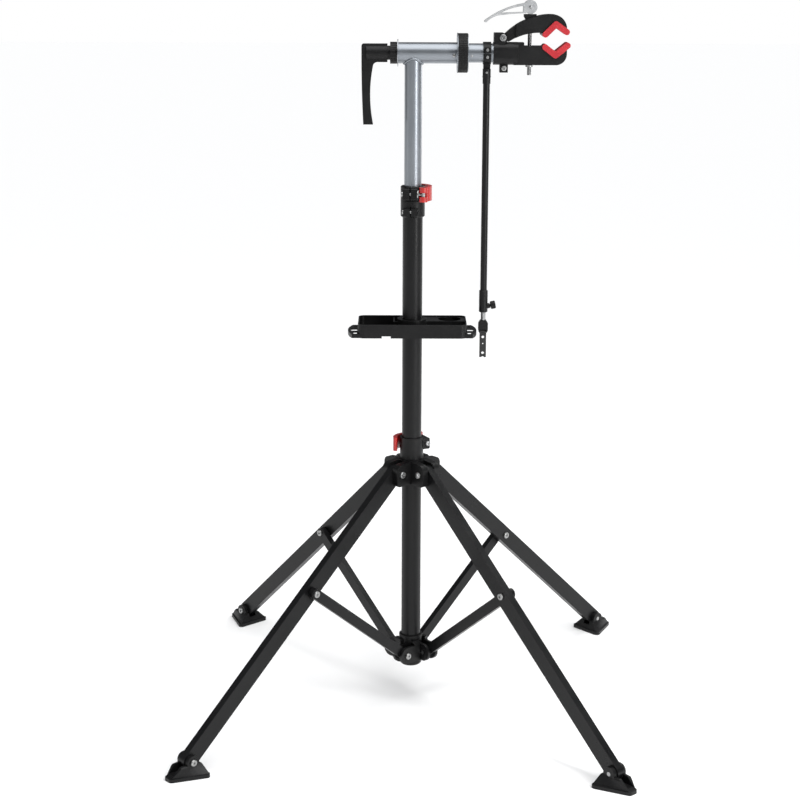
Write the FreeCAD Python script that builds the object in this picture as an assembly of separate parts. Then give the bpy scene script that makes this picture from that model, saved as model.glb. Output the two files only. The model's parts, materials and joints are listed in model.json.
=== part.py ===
import FreeCAD, Part
import math
import os
from FreeCAD import Vector

# Folding work stand for bicycles: four legs that fold like an umbrella, a telescopic
# post and a turning clamp head.  Millimetres, +Z up, origin on the floor under the mast.
# +X is the side that the jaws point to, -Y is the front.

# ---------------------------------------------------------------- driving dimensions
# fits
RUNNING = 0.06            # radial clearance of a turning or sliding fit
PLAY = 0.5                # side clearance between flat moving faces
SEAT = 0.02               # radial clearance of pieces that are assembled for good

# mast and post
MAST_RADIUS = 19.0
MAST_WALL = 1.8
MAST_BOTTOM = 76.0
MAST_TOP = 1022.0
BUSH_WALL = 0.95
POST_RADIUS = MAST_RADIUS - MAST_WALL - BUSH_WALL
POST_WALL = 1.8
POST_BOTTOM = 640.0
BUSH_LENGTH = 60.0
PLUG_LENGTH = 18.0
PLUG_SPIGOT = 14.0

# legs, struts and their pivots, in the plane of a leg
BASE_TURN = -3.1          # the legs stand this many degrees off the 45 degree lines
LEG_WIDTH = 15.0
LEG_DEPTH = 31.0
LEG_WALL = 1.5
LEG_PIVOT_RADIUS = MAST_RADIUS + 24.0
LEG_PIVOT_HEIGHT = 475.5
FOOT_PIVOT_RADIUS = 546.0
FOOT_PIVOT_HEIGHT = 28.0
STRUT_WIDTH = 12.0
STRUT_DEPTH = 20.0
STRUT_WALL = 1.5
STRUT_GAP = 1.5           # between the side of a leg and its strut
STRUT_PIVOT_RADIUS = MAST_RADIUS + 13.5
STRUT_PIVOT_HEIGHT = 99.5
STRUT_JOINT_ALONG_LEG = 289.3
BOLT_RADIUS = 4.0
BOLT_HEAD_RADIUS = 6.5
BOLT_HEAD_HEIGHT = 3.5

# leg hub that slides on the mast
HUB_WALL = 3.8
HUB_RADIUS = MAST_RADIUS + HUB_WALL
HUB_TOP = LEG_PIVOT_HEIGHT + 65.5
LUG_HALF_WIDTH = LEG_WIDTH / 2 + 14.1
LUG_REACH = 13.0          # beyond the leg pivot
LUG_RISE = 20.0           # above the leg pivot
LUG_ROUND = 12.0
LUG_DROP = 23.5           # from the leg pivot down to the underside of the lugs
HUB_SLOT_START = HUB_RADIUS + 3.8

# bottom hub
BASE_WALL = 2.8
BASE_RADIUS = MAST_RADIUS + BASE_WALL
BASE_BOTTOM = STRUT_PIVOT_HEIGHT - 30.5
BASE_TOP = STRUT_PIVOT_HEIGHT + 33.5
BASE_EDGE_ROUND = 6.0
BASE_LIP = 1.4
BASE_LIP_HEIGHT = 6.0
STRUT_CHEEK = 6.4
STRUT_LUG_ROUND = 17.0

# foot, measured from its bolt
FOOT_TIP_REACH = 47.0
FOOT_TIP_HALF_WIDTH = 9.5
FOOT_HEEL_REACH = 25.0
FOOT_HEEL_HALF_WIDTH = 40.0
FOOT_PLATE_HEIGHT = 6.5
FOOT_CORNER_ROUND = 7.0
FOOT_CHEEK = 8.0
FOOT_CHEEK_ROUND = 13.0
FOOT_FLARE_TOP = 25.0
FOOT_FLARE_BACK = 17.0
FOOT_FLARE_AHEAD = 24.0
FOOT_SLOT_FLOOR = 10.0

# quick-release locks of the mast and of the leg hub
LOCK_WALL = 3.9
LOCK_RADIUS = MAST_RADIUS + LOCK_WALL
LOCK_BOTTOM = MAST_TOP - 50.0
LOCK_TOP = MAST_TOP + 8.5
LOCK_CHAMFER = 3.0
LOCK_SLIT = 2.4
EAR_HEIGHT = 22.0
EAR_LENGTH = 14.0
EAR_REACH = 10.0
EAR_RIBS = 3
EAR_GROOVE = 0.8
LOCK_BOLT_OFFSET = MAST_RADIUS + 8.5
LOCK_BOLT_RADIUS = 3.0
LOCK_WASHER_RADIUS = 8.5
LOCK_WASHER = 2.0
CAM_RADIUS = 8.0
CAM_PIN_RADIUS = 2.5
LEVER_HEIGHT = 27.0
LEVER_INNER = MAST_RADIUS + 9.2
LEVER_THICKNESS = 8.0
LEVER_SWEEP = 118.0
MAST_LOCK_TURN = -9.6
MAST_LOCK_HEIGHT = MAST_TOP - 5.0
HUB_LOCK_TURN = 116.0
HUB_LOCK_HEIGHT = HUB_TOP - 14.0

# tray
TRAY_TOP = 772.0
TRAY_BOTTOM = TRAY_TOP - 26.0
TRAY_HALF_LENGTH = 103.5
TRAY_HALF_DEPTH = 48.5
TRAY_WALL = 2.5
TRAY_FLOOR = 2.5
TRAY_SKIRT = 4.0          # the walls reach this far below the floor
TRAY_CORNER = 12.0
TRAY_BOSS_RADIUS = MAST_RADIUS + 9.5
TRAY_BOSS_TOP = TRAY_TOP + 4.0
TRAY_BUSH_WALL = 2.2
WING_REACH = TRAY_HALF_LENGTH + 20.0
WING_TOP = TRAY_BOTTOM + 7.5
WING_PLATE = 3.0
WING_RIM = 2.5
WING_HALF_DEPTH = TRAY_HALF_DEPTH - 3.5
WING_SLOT = 22.0
WING_SLOTS = 3
CUP_RADIUS = 22.0
CUP_X = 72.0
CUP_Y = 24.0
SHELF_FRONT = 0.0
DIVIDER_X = -35.0
NOTCH_X = -49.5
NOTCH_WIDTH = 17.0
NOTCH_HEIGHT = 4.0

# head: cross tube, index discs and clamp shaft, along X
HEAD_HEIGHT = 1276.0
TEE_RADIUS = POST_RADIUS + 3.05
TEE_WALL = 1.8
SHAFT_RADIUS = TEE_RADIUS - TEE_WALL
TEE_LEFT = -29.6
TEE_FLANGE = 1.4
TEE_FLANGE_RADIUS = 25.0
SHAFT_WALL = 2.5
SHAFT_LEFT = -20.0
DISC_LEFT = 82.0
DISC_RADIUS = 36.0
DISC_HALF = 9.0
DISC_PLATE = 1.2
DISC_GAP = 0.4
DISC_RIBS = 60
DRAW_ROD_RADIUS = 5.0
HANDLE_COLLAR_LENGTH = 13.5
HANDLE_COLLAR_RADIUS = TEE_RADIUS + 0.7
HANDLE_NECK_LENGTH = 5.0
HANDLE_NECK_RADIUS = 13.0
HANDLE_BOSS_RADIUS = 16.5
HANDLE_REACH = 96.0
HANDLE_LENGTH = 131.0     # from the axis of the head down to the grip's end
HANDLE_GRIP_WIDTH = 18.0
HANDLE_THICKNESS = 22.0

# clamp jaws
SOCKET_LEFT = 147.5
SEAM_X = 192.6
SOCKET_WALL = 3.6
SOCKET_CORNER = 14.0
JAW_BOTTOM = HEAD_HEIGHT - SHAFT_RADIUS - 3.5
JAW_TOP = HEAD_HEIGHT + 13.5
JAW_END = 282.5
JAW_HALF_WIDTH = SHAFT_RADIUS - 0.5
JAW_NOSE_ROUND = 20.0
JAW_PIVOT_X = 164.5
JAW_PIVOT_Z = HEAD_HEIGHT + SHAFT_RADIUS + 11.0
EAR_HALF_GAP = 10.2
EAR_TOP = JAW_PIVOT_Z + 8.5
ARM_HALF_WIDTH = 9.8
PAD_HALF_WIDTH = 20.0
PAD_THICKNESS = 11.0
PAD_HEEL_X = 242.3
PAD_APEX_X = 261.4
LOWER_HEEL_Z = HEAD_HEIGHT + 11.5
LOWER_APEX_Z = HEAD_HEIGHT - 3.0
LOWER_TOE_X = 283.3
LOWER_TOE_Z = HEAD_HEIGHT + 14.5
UPPER_HEEL_Z = JAW_PIVOT_Z + 6.0
UPPER_APEX_Z = JAW_PIVOT_Z + 24.5
UPPER_TOE_X = 281.3
UPPER_TOE_Z = JAW_PIVOT_Z + 10.5
STUD_X = 214.5
STUD_RADIUS = 4.0
STUD_BOTTOM = JAW_BOTTOM - 19.0
STUD_LIFT = 21.0          # how far the stud rises when the jaw is fully open
JAW_OPENING = 12.0        # degrees
POCKET_FLOOR = JAW_PIVOT_Z + 33.0
POCKET_HALF_WIDTH = 9.2
CAM_HEIGHT = JAW_PIVOT_Z + 55.1
CAM_DISC_RADIUS = 12.6
CAM_HALF_WIDTH = 8.0
PINCH_LUG_X = 167.0
PINCH_LUG_LENGTH = 15.0
PINCH_BOLT_HEIGHT = JAW_BOTTOM - 6.0

# handlebar holder, hanging from the clamp shaft
HOLDER_X = 136.0
HOLDER_LENGTH = 14.7
HOLDER_RING = 3.0
KNUCKLE_Z = HEAD_HEIGHT - SHAFT_RADIUS - 18.0
KNUCKLE_ROUND = 6.5
KNUCKLE_RADIUS = 8.1
TONGUE_HALF = 3.0
ROD_TOP = KNUCKLE_Z - 9.5
ROD_LENGTH = 420.0
ROD_BOTTOM = ROD_TOP - ROD_LENGTH
ROD_RADIUS = 6.4
ROD_WALL = 1.2
SLEEVE_TOP = ROD_BOTTOM + 20.0
SLEEVE_BOTTOM = ROD_BOTTOM - 22.5
SLEEVE_RADIUS = 8.3
INNER_ROD_RADIUS = 4.5
INNER_ROD_TOP = ROD_BOTTOM + 189.0
CRADLE_TOP = ROD_BOTTOM - 38.0
CRADLE_BOTTOM = ROD_BOTTOM - 62.5
CRADLE_HALF_LENGTH = 9.2
CRADLE_HALF_WIDTH = 6.0
STRAP_BOTTOM = ROD_BOTTOM - 111.0
STRAP_HALF_LENGTH = 6.4
STRAP_THICKNESS = 2.6
STRAP_EYE = 3.0
KNOB_TILT = 12.0
KNOB_HEIGHT = ROD_BOTTOM - 11.0
KNOB_RADIUS = 7.6

# ---------------------------------------------------------------- derived sizes
MAST_BORE = MAST_RADIUS - MAST_WALL
LEG_HALF = LEG_WIDTH / 2
LEG_ROUND = LEG_DEPTH / 2
STRUT_INNER = LEG_HALF + STRUT_GAP
STRUT_OUTER = STRUT_INNER + STRUT_WIDTH
STRUT_MIDDLE = (STRUT_INNER + STRUT_OUTER) / 2
DISC_MIDDLE = DISC_LEFT + DISC_HALF
DISC_RIGHT = DISC_LEFT + 2 * DISC_HALF
SOCKET_RADIUS = SHAFT_RADIUS + SOCKET_WALL
LOCK_EYE_HALF = LOCK_BOLT_RADIUS + 0.4
LOCK_SLOT_HALF = LOCK_EYE_HALF + PLAY
STUD_EYE_HALF = STUD_RADIUS + 0.6
LEG_NAMES = {"back_right": 45, "back_left": 135, "front_left": 225, "front_right": 315}

X_AXIS = Vector(1, 0, 0)
Y_AXIS = Vector(0, 1, 0)
Z_AXIS = Vector(0, 0, 1)
CENTRE = Vector(0, 0, 0)


# ---------------------------------------------------------------- small helpers
def rod(radius, start, axis, length):
    """Round bar from start along axis."""
    return Part.makeCylinder(radius, length, Vector(*start), Vector(*axis))


def ring(outer, inner, start, axis, length):
    """Round bar with a bore right through."""
    bar = rod(outer, start, axis, length)
    return bar.cut(rod(inner, start, axis, length))


def block(x_range, y_range, z_range):
    """Box between two limits on each axis."""
    sizes = [high - low for low, high in (x_range, y_range, z_range)]
    return Part.makeBox(*sizes, Vector(x_range[0], y_range[0], z_range[0]))


def upright(points, y_low, y_high):
    """Outline in the XZ plane, pushed from y_low to y_high.  A point pair is an arc: (middle, end)."""
    here = points[0]
    edges = []
    for step in list(points[1:]) + [points[0]]:
        if isinstance(step[0], tuple):
            middle, end = step
            spots = [Vector(p[0], y_low, p[1]) for p in (here, middle, end)]
            edges.append(Part.Arc(*spots).toShape())
            here = end
        elif math.dist(here, step) > 1e-6:
            edges.append(Part.makeLine(Vector(here[0], y_low, here[1]), Vector(step[0], y_low, step[1])))
            here = step
    return Part.Face(Part.Wire(edges)).extrude(Vector(0, y_high - y_low, 0))


def capsule(start, end, radius, y_low, y_high):
    """Bar with two round ends in the XZ plane, pushed along Y."""
    dx, dz = end[0] - start[0], end[1] - start[1]
    length = math.hypot(dx, dz)
    ux, uz = dx / length, dz / length
    nx, nz = -uz * radius, ux * radius
    return upright([
        (start[0] + nx, start[1] + nz),
        (end[0] + nx, end[1] + nz),
        ((end[0] + ux * radius, end[1] + uz * radius), (end[0] - nx, end[1] - nz)),
        (start[0] - nx, start[1] - nz),
        ((start[0] - ux * radius, start[1] - uz * radius), (start[0] + nx, start[1] + nz)),
    ], y_low, y_high)


def turned(shape, degrees):
    """Copy turned about the mast."""
    copy = shape.copy()
    copy.rotate(CENTRE, Z_AXIS, degrees)
    return copy


def joined(first, *others):
    """One solid from several that touch, with the seams between flush faces removed."""
    return first.fuse(list(others)).removeSplitter()


def group(*shapes):
    """Separate solids kept as one node."""
    return Part.makeCompound(list(shapes))


def bolt(start, axis, length, radius=BOLT_RADIUS, head=BOLT_HEAD_RADIUS, height=BOLT_HEAD_HEIGHT):
    """Round-head bolt: the head stands behind start and the shank runs along axis."""
    way = Vector(*axis)
    shank = rod(radius, start, axis, length)
    seat = Vector(*start) - way * height
    cap = Part.makeCylinder(head, height, seat, way)
    rim = [e for e in cap.Edges if isinstance(e.Curve, Part.Circle) and (e.CenterOfMass - seat).Length < 0.01]
    cap = cap.makeFillet(height * 0.45, rim)
    socket = Part.makeCylinder(head * 0.42, height * 0.6, seat, way)
    return joined(cap.cut(socket), shank)


def strut_joint():
    """Where leg and strut are bolted together, in the plane of the leg."""
    run = FOOT_PIVOT_RADIUS - LEG_PIVOT_RADIUS
    drop = LEG_PIVOT_HEIGHT - FOOT_PIVOT_HEIGHT
    length = math.hypot(run, drop)
    along = (run / length, -drop / length)
    joint = (
        LEG_PIVOT_RADIUS + along[0] * STRUT_JOINT_ALONG_LEG,
        LEG_PIVOT_HEIGHT + along[1] * STRUT_JOINT_ALONG_LEG,
    )
    return joint


# ---------------------------------------------------------------- mast and base
def mast_tube():
    return ring(MAST_RADIUS, MAST_BORE, (0, 0, MAST_BOTTOM), (0, 0, 1), MAST_TOP - MAST_BOTTOM)


def mast_top_bush():
    """Liner in the mouth of the mast that the post slides through."""
    return ring(MAST_BORE - SEAT, POST_RADIUS + RUNNING, (0, 0, MAST_TOP - BUSH_LENGTH), (0, 0, 1), BUSH_LENGTH)


def strut_lug():
    """Two cheeks that hold the lower end of one strut, in the plane of its leg."""
    inner_face = STRUT_INNER - PLAY
    outer_face = STRUT_OUTER + PLAY
    cheeks = []
    for low, high in ((inner_face - STRUT_CHEEK, inner_face), (outer_face, outer_face + STRUT_CHEEK)):
        plate = block((0, STRUT_PIVOT_RADIUS), (low, high),
                      (STRUT_PIVOT_HEIGHT - STRUT_LUG_ROUND, STRUT_PIVOT_HEIGHT + STRUT_LUG_ROUND))
        end = rod(STRUT_LUG_ROUND, (STRUT_PIVOT_RADIUS, low, STRUT_PIVOT_HEIGHT), (0, 1, 0), high - low)
        gusset = upright([
            (0, STRUT_PIVOT_HEIGHT), (BASE_RADIUS - 2, BASE_TOP - 8), (0, BASE_TOP - 8),
        ], low, high)
        cheeks.append(joined(plate, end, gusset))
    return cheeks


def base_hub():
    """Closed socket on the bottom of the mast with four off-centre strut clevises."""
    socket = rod(BASE_RADIUS, (0, 0, BASE_BOTTOM), (0, 0, 1), BASE_TOP - BASE_BOTTOM)
    bottom = [e for e in socket.Edges if isinstance(e.Curve, Part.Circle) and e.CenterOfMass.z < BASE_BOTTOM + 1]
    socket = socket.makeFillet(BASE_EDGE_ROUND, bottom)
    socket = socket.fuse(rod(BASE_RADIUS + BASE_LIP, (0, 0, BASE_TOP - BASE_LIP_HEIGHT), (0, 0, 1), BASE_LIP_HEIGHT))
    cheeks = []
    for angle in LEG_NAMES.values():
        cheeks += [turned(cheek, angle + BASE_TURN) for cheek in strut_lug()]
    hub = joined(socket, *cheeks)
    hub = hub.cut(rod(MAST_RADIUS + SEAT, (0, 0, MAST_BOTTOM), (0, 0, 1), BASE_TOP))
    reach = STRUT_OUTER + 2 * STRUT_CHEEK
    for angle in LEG_NAMES.values():
        slot = capsule((STRUT_PIVOT_RADIUS, STRUT_PIVOT_HEIGHT), (STRUT_PIVOT_RADIUS + 40, STRUT_PIVOT_HEIGHT),
                       STRUT_DEPTH / 2 + 1.5, STRUT_INNER - PLAY, STRUT_OUTER + PLAY)
        rise = capsule((STRUT_PIVOT_RADIUS, STRUT_PIVOT_HEIGHT), (STRUT_PIVOT_RADIUS, STRUT_PIVOT_HEIGHT + 60),
                       STRUT_DEPTH / 2 + 1.5, STRUT_INNER - PLAY, STRUT_OUTER + PLAY)
        hole = rod(BOLT_RADIUS, (STRUT_PIVOT_RADIUS, 0, STRUT_PIVOT_HEIGHT), (0, 1, 0), reach)
        for tool in (slot, rise, hole):
            hub = hub.cut(turned(tool, angle + BASE_TURN))
    return hub


def strut_pivot_bolts():
    """Four bolts, headed on the outer cheek."""
    head_face = STRUT_OUTER + PLAY + STRUT_CHEEK
    length = head_face - (STRUT_INNER - PLAY - STRUT_CHEEK)
    one = bolt((STRUT_PIVOT_RADIUS, head_face, STRUT_PIVOT_HEIGHT), (0, -1, 0), length)
    return group(*[turned(one, angle + BASE_TURN) for angle in LEG_NAMES.values()])


# ---------------------------------------------------------------- quick-release locks
def lock_ears(radius, height, slit_bottom, slit_top):
    """Clamp ears at the front, and the cutters for their slit and bolt."""
    front = -(radius + EAR_REACH)
    z_range = (height - EAR_HEIGHT / 2, height + EAR_HEIGHT / 2)
    ears = block((-EAR_LENGTH, EAR_LENGTH), (front, -radius * 0.75), z_range)
    corners = [e for e in ears.Edges if abs(e.CenterOfMass.y - front) < 0.01 and abs(e.CenterOfMass.x) < 0.01]
    ears = ears.makeFillet(3, corners)
    pitch = EAR_HEIGHT / (EAR_RIBS + 1)
    for number in range(EAR_RIBS):
        low = z_range[0] + pitch * (number + 0.75)
        ears = ears.cut(block((-EAR_LENGTH + 3, EAR_LENGTH - 3), (front - 1, front + EAR_GROOVE), (low, low + pitch / 2)))
    slit = block((-LOCK_SLIT / 2, LOCK_SLIT / 2), (front - 1, 0), (slit_bottom, slit_top))
    hole = rod(LOCK_BOLT_RADIUS, (-60, -LOCK_BOLT_OFFSET, height), (1, 0, 0), 120)
    return ears, slit, hole


def lock_bolt(height):
    """Cross-pin bolt and washer of a lock."""
    cam_x = EAR_LENGTH + LOCK_WASHER + CAM_RADIUS + 0.4
    stem = bolt((-EAR_LENGTH, -LOCK_BOLT_OFFSET, height), (1, 0, 0), EAR_LENGTH + cam_x,
                LOCK_BOLT_RADIUS, LOCK_BOLT_RADIUS + 2.2, 4)
    pin = rod(CAM_PIN_RADIUS, (cam_x, -LOCK_BOLT_OFFSET, height - LEVER_HEIGHT / 2), (0, 0, 1), LEVER_HEIGHT)
    eye = rod(CAM_PIN_RADIUS + 1.5, (cam_x, -LOCK_BOLT_OFFSET, height - LOCK_EYE_HALF), (0, 0, 1), 2 * LOCK_EYE_HALF)
    washer = ring(LOCK_WASHER_RADIUS, LOCK_BOLT_RADIUS + SEAT, (EAR_LENGTH, -LOCK_BOLT_OFFSET, height),
                  (1, 0, 0), LOCK_WASHER)
    return [joined(stem, eye, pin), washer]


def lock_lever(height):
    """Cam lever: a cam on the pin and a curved handle that wraps round the collar."""
    cam_x = EAR_LENGTH + LOCK_WASHER + CAM_RADIUS + 0.4
    low = height - LEVER_HEIGHT / 2
    cam = rod(CAM_RADIUS, (cam_x, -LOCK_BOLT_OFFSET, low), (0, 0, 1), LEVER_HEIGHT)
    outer = LEVER_INNER + LEVER_THICKNESS
    start = math.degrees(math.atan2(-LOCK_BOLT_OFFSET, cam_x))
    middle_radius = LEVER_INNER + LEVER_THICKNESS / 2
    band = Part.makeCylinder(outer, LEVER_HEIGHT, Vector(0, 0, low), Z_AXIS, LEVER_SWEEP)
    band = band.cut(rod(LEVER_INNER, (0, 0, low), (0, 0, 1), LEVER_HEIGHT))
    band.rotate(CENTRE, Z_AXIS, start + 3)
    tip_angle = math.radians(start + 3 + LEVER_SWEEP)
    tip = rod(LEVER_THICKNESS / 2, (middle_radius * math.cos(tip_angle), middle_radius * math.sin(tip_angle), low),
              (0, 0, 1), LEVER_HEIGHT)
    lever = joined(cam, band, tip)
    slot_z = (height - LOCK_SLOT_HALF, height + LOCK_SLOT_HALF)
    half_slot = block((cam_x - 3 * CAM_RADIUS, cam_x + 0.5), (-LOCK_BOLT_OFFSET - 3 * CAM_RADIUS,
                      -LOCK_BOLT_OFFSET + CAM_RADIUS + 2), slot_z)
    front_slot = block((cam_x, cam_x + 2 * CAM_RADIUS), (-LOCK_BOLT_OFFSET - 3 * CAM_RADIUS,
                       -LOCK_BOLT_OFFSET - CAM_PIN_RADIUS / 2), slot_z)
    eye_room = rod(CAM_PIN_RADIUS + 1.5 + 0.4, (cam_x, -LOCK_BOLT_OFFSET, slot_z[0]), (0, 0, 1),
                   slot_z[1] - slot_z[0])
    bore = rod(CAM_PIN_RADIUS + RUNNING, (cam_x, -LOCK_BOLT_OFFSET, low - 1), (0, 0, 1), LEVER_HEIGHT + 2)
    for tool in (half_slot, front_slot, eye_room, bore):
        lever = lever.cut(tool)
    return lever


def lock_collar():
    """Clamp collar on the mouth of the mast: grips the mast below and the post above."""
    body = rod(LOCK_RADIUS, (0, 0, LOCK_BOTTOM), (0, 0, 1), LOCK_TOP - LOCK_BOTTOM)
    rims = [e for e in body.Edges if isinstance(e.Curve, Part.Circle)]
    body = body.makeChamfer(LOCK_CHAMFER * 0.6, rims)
    split = MAST_LOCK_HEIGHT - EAR_HEIGHT / 2 - 2.5
    ears, slit, hole = lock_ears(LOCK_RADIUS, MAST_LOCK_HEIGHT, split, LOCK_TOP + 1)
    low_block = block((-EAR_LENGTH, EAR_LENGTH), (-(LOCK_RADIUS + 4), -LOCK_RADIUS * 0.75),
                      (LOCK_BOTTOM + 4, LOCK_BOTTOM + 18))
    body = joined(body, ears, low_block)
    low_hole = rod(LOCK_BOLT_RADIUS, (-60, -(LOCK_RADIUS + 0.4), LOCK_BOTTOM + 11), (1, 0, 0), 120)
    across = block((-LOCK_RADIUS, LOCK_RADIUS), (-(LOCK_RADIUS + EAR_REACH), -POST_RADIUS - 1.5), (split - 1.2, split))
    low_slit = block((-LOCK_SLIT / 2, LOCK_SLIT / 2), (-LOCK_RADIUS - 6, -POST_RADIUS), (LOCK_BOTTOM - 1, LOCK_BOTTOM + 22))
    for tool in (slit, hole, low_hole, across, low_slit):
        body = body.cut(tool)
    body = body.cut(rod(MAST_RADIUS + SEAT, (0, 0, LOCK_BOTTOM - 1), (0, 0, 1), MAST_TOP - LOCK_BOTTOM + 1))
    body = body.cut(rod(POST_RADIUS + RUNNING, (0, 0, MAST_TOP - 1), (0, 0, 1), 20))
    return turned(body, MAST_LOCK_TURN)


def lock_collar_bolts():
    """Lock bolt with its washer, and the small screw that fixes the collar to the mast."""
    low_screw = bolt((-EAR_LENGTH, -(LOCK_RADIUS + 0.4), LOCK_BOTTOM + 11), (1, 0, 0), 2 * EAR_LENGTH - 2,
                     LOCK_BOLT_RADIUS, LOCK_BOLT_RADIUS + 1.5, 2.5)
    return group(*[turned(piece, MAST_LOCK_TURN) for piece in lock_bolt(MAST_LOCK_HEIGHT) + [low_screw]])


# ---------------------------------------------------------------- leg hub
def leg_lug():
    """One lug of the hub as a solid block, in the plane of its leg."""
    low = LEG_PIVOT_HEIGHT - LUG_DROP
    high = LEG_PIVOT_HEIGHT + LUG_RISE
    outer = LEG_PIVOT_RADIUS + LUG_REACH
    bend = LUG_ROUND * (1 - math.sqrt(0.5))
    return upright([
        (0, low),
        (outer - 6, low),
        ((outer - 1.8, low + 1.8), (outer, low + 6)),
        (outer, high - LUG_ROUND),
        ((outer - bend, high - bend), (outer - LUG_ROUND, high)),
        (0, high + 4),
    ], -LUG_HALF_WIDTH, LUG_HALF_WIDTH)


def leg_hub():
    """Sliding collar with four forked lugs for the legs and a clamp at its top."""
    bottom = LEG_PIVOT_HEIGHT - LUG_DROP
    body = rod(HUB_RADIUS, (0, 0, bottom), (0, 0, 1), HUB_TOP - bottom)
    body = joined(body, *[turned(leg_lug(), angle + BASE_TURN) for angle in LEG_NAMES.values()])
    ears, slit, hole = lock_ears(HUB_RADIUS, HUB_LOCK_HEIGHT, HUB_LOCK_HEIGHT - EAR_HEIGHT / 2 - 4, HUB_TOP + 1)
    body = joined(body, turned(ears, HUB_LOCK_TURN))
    body = body.cut(turned(slit, HUB_LOCK_TURN)).cut(turned(hole, HUB_LOCK_TURN))
    slot_half = LEG_HALF + PLAY
    for angle in LEG_NAMES.values():
        slot = block((HUB_SLOT_START, 90), (-slot_half, slot_half), (bottom - 5, bottom + 80))
        hole = rod(BOLT_RADIUS, (LEG_PIVOT_RADIUS, -50, LEG_PIVOT_HEIGHT), (0, 1, 0), 100)
        body = body.cut(turned(slot, angle + BASE_TURN)).cut(turned(hole, angle + BASE_TURN))
    return body.cut(rod(MAST_RADIUS + RUNNING, (0, 0, bottom - 1), (0, 0, 1), HUB_TOP))


def leg_hub_bolts():
    """Four leg pivot bolts, the lock bolt and its washer."""
    length = 2 * LUG_HALF_WIDTH - 1
    one = bolt((LEG_PIVOT_RADIUS, LUG_HALF_WIDTH, LEG_PIVOT_HEIGHT), (0, -1, 0), length)
    nut = rod(BOLT_HEAD_RADIUS - 1, (LEG_PIVOT_RADIUS, -LUG_HALF_WIDTH, LEG_PIVOT_HEIGHT), (0, -1, 0), 2)
    tip = rod(BOLT_RADIUS, (LEG_PIVOT_RADIUS, 0, LEG_PIVOT_HEIGHT), (0, -1, 0), LUG_HALF_WIDTH + 1)
    one = joined(one, tip, nut)
    pieces = [turned(one, angle + BASE_TURN) for angle in LEG_NAMES.values()]
    pieces += [turned(piece, HUB_LOCK_TURN) for piece in lock_bolt(HUB_LOCK_HEIGHT)]
    return group(*pieces)


# ---------------------------------------------------------------- legs, struts and feet
def hollow_bar(start, end, depth, width, wall, y_low):
    """Flat-sided tube with round ends between two pivots, with a wall all round."""
    bar = capsule(start, end, depth / 2, y_low, y_low + width)
    core = capsule(start, end, depth / 2 - wall, y_low + wall, y_low + width - wall)
    bar = bar.cut(core)
    for spot in (start, end):
        bush = rod(BOLT_RADIUS + 2.5, (spot[0], y_low, spot[1]), (0, 1, 0), width)
        bar = bar.fuse(bush)
    return bar


def leg():
    joint = strut_joint()
    top = (LEG_PIVOT_RADIUS, LEG_PIVOT_HEIGHT)
    foot_end = (FOOT_PIVOT_RADIUS, FOOT_PIVOT_HEIGHT)
    bar = hollow_bar(top, foot_end, LEG_DEPTH, LEG_WIDTH, LEG_WALL, -LEG_HALF)
    bar = bar.fuse(rod(BOLT_RADIUS + 2.5, (joint[0], -LEG_HALF, joint[1]), (0, 1, 0), LEG_WIDTH)).removeSplitter()
    hinge = rod(BOLT_RADIUS + RUNNING, (top[0], -LEG_WIDTH, top[1]), (0, 1, 0), 2 * LEG_WIDTH)
    foot_hole = rod(BOLT_RADIUS, (foot_end[0], -LEG_WIDTH, foot_end[1]), (0, 1, 0), 2 * LEG_WIDTH)
    strut_hole = rod(BOLT_RADIUS, (joint[0], -LEG_WIDTH, joint[1]), (0, 1, 0), 2 * LEG_WIDTH)
    return bar.cut(hinge).cut(foot_hole).cut(strut_hole)


def leg_bolts():
    """Foot pivot bolt, and the leg's half of the strut bolt, which stops short of the strut."""
    joint = strut_joint()
    outside = LEG_HALF + PLAY + FOOT_CHEEK
    foot_bolt = bolt((FOOT_PIVOT_RADIUS, outside, FOOT_PIVOT_HEIGHT), (0, -1, 0), 2 * outside)
    stub = bolt((joint[0], -LEG_HALF, joint[1]), (0, 1, 0), LEG_WIDTH + STRUT_GAP * 0.4)
    return group(foot_bolt, stub)


def strut():
    joint = strut_joint()
    base = (STRUT_PIVOT_RADIUS, STRUT_PIVOT_HEIGHT)
    bar = hollow_bar(base, joint, STRUT_DEPTH, STRUT_WIDTH, STRUT_WALL, STRUT_INNER).removeSplitter()
    hinge = rod(BOLT_RADIUS + RUNNING, (base[0], 0, base[1]), (0, 1, 0), 4 * STRUT_OUTER)
    hole = rod(BOLT_RADIUS, (joint[0], 0, joint[1]), (0, 1, 0), 4 * STRUT_OUTER)
    return bar.cut(hinge).cut(hole)


def strut_bolt():
    """The strut's half of the bolt to the leg."""
    joint = strut_joint()
    return bolt((joint[0], STRUT_OUTER, joint[1]), (0, -1, 0), STRUT_WIDTH)


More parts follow.
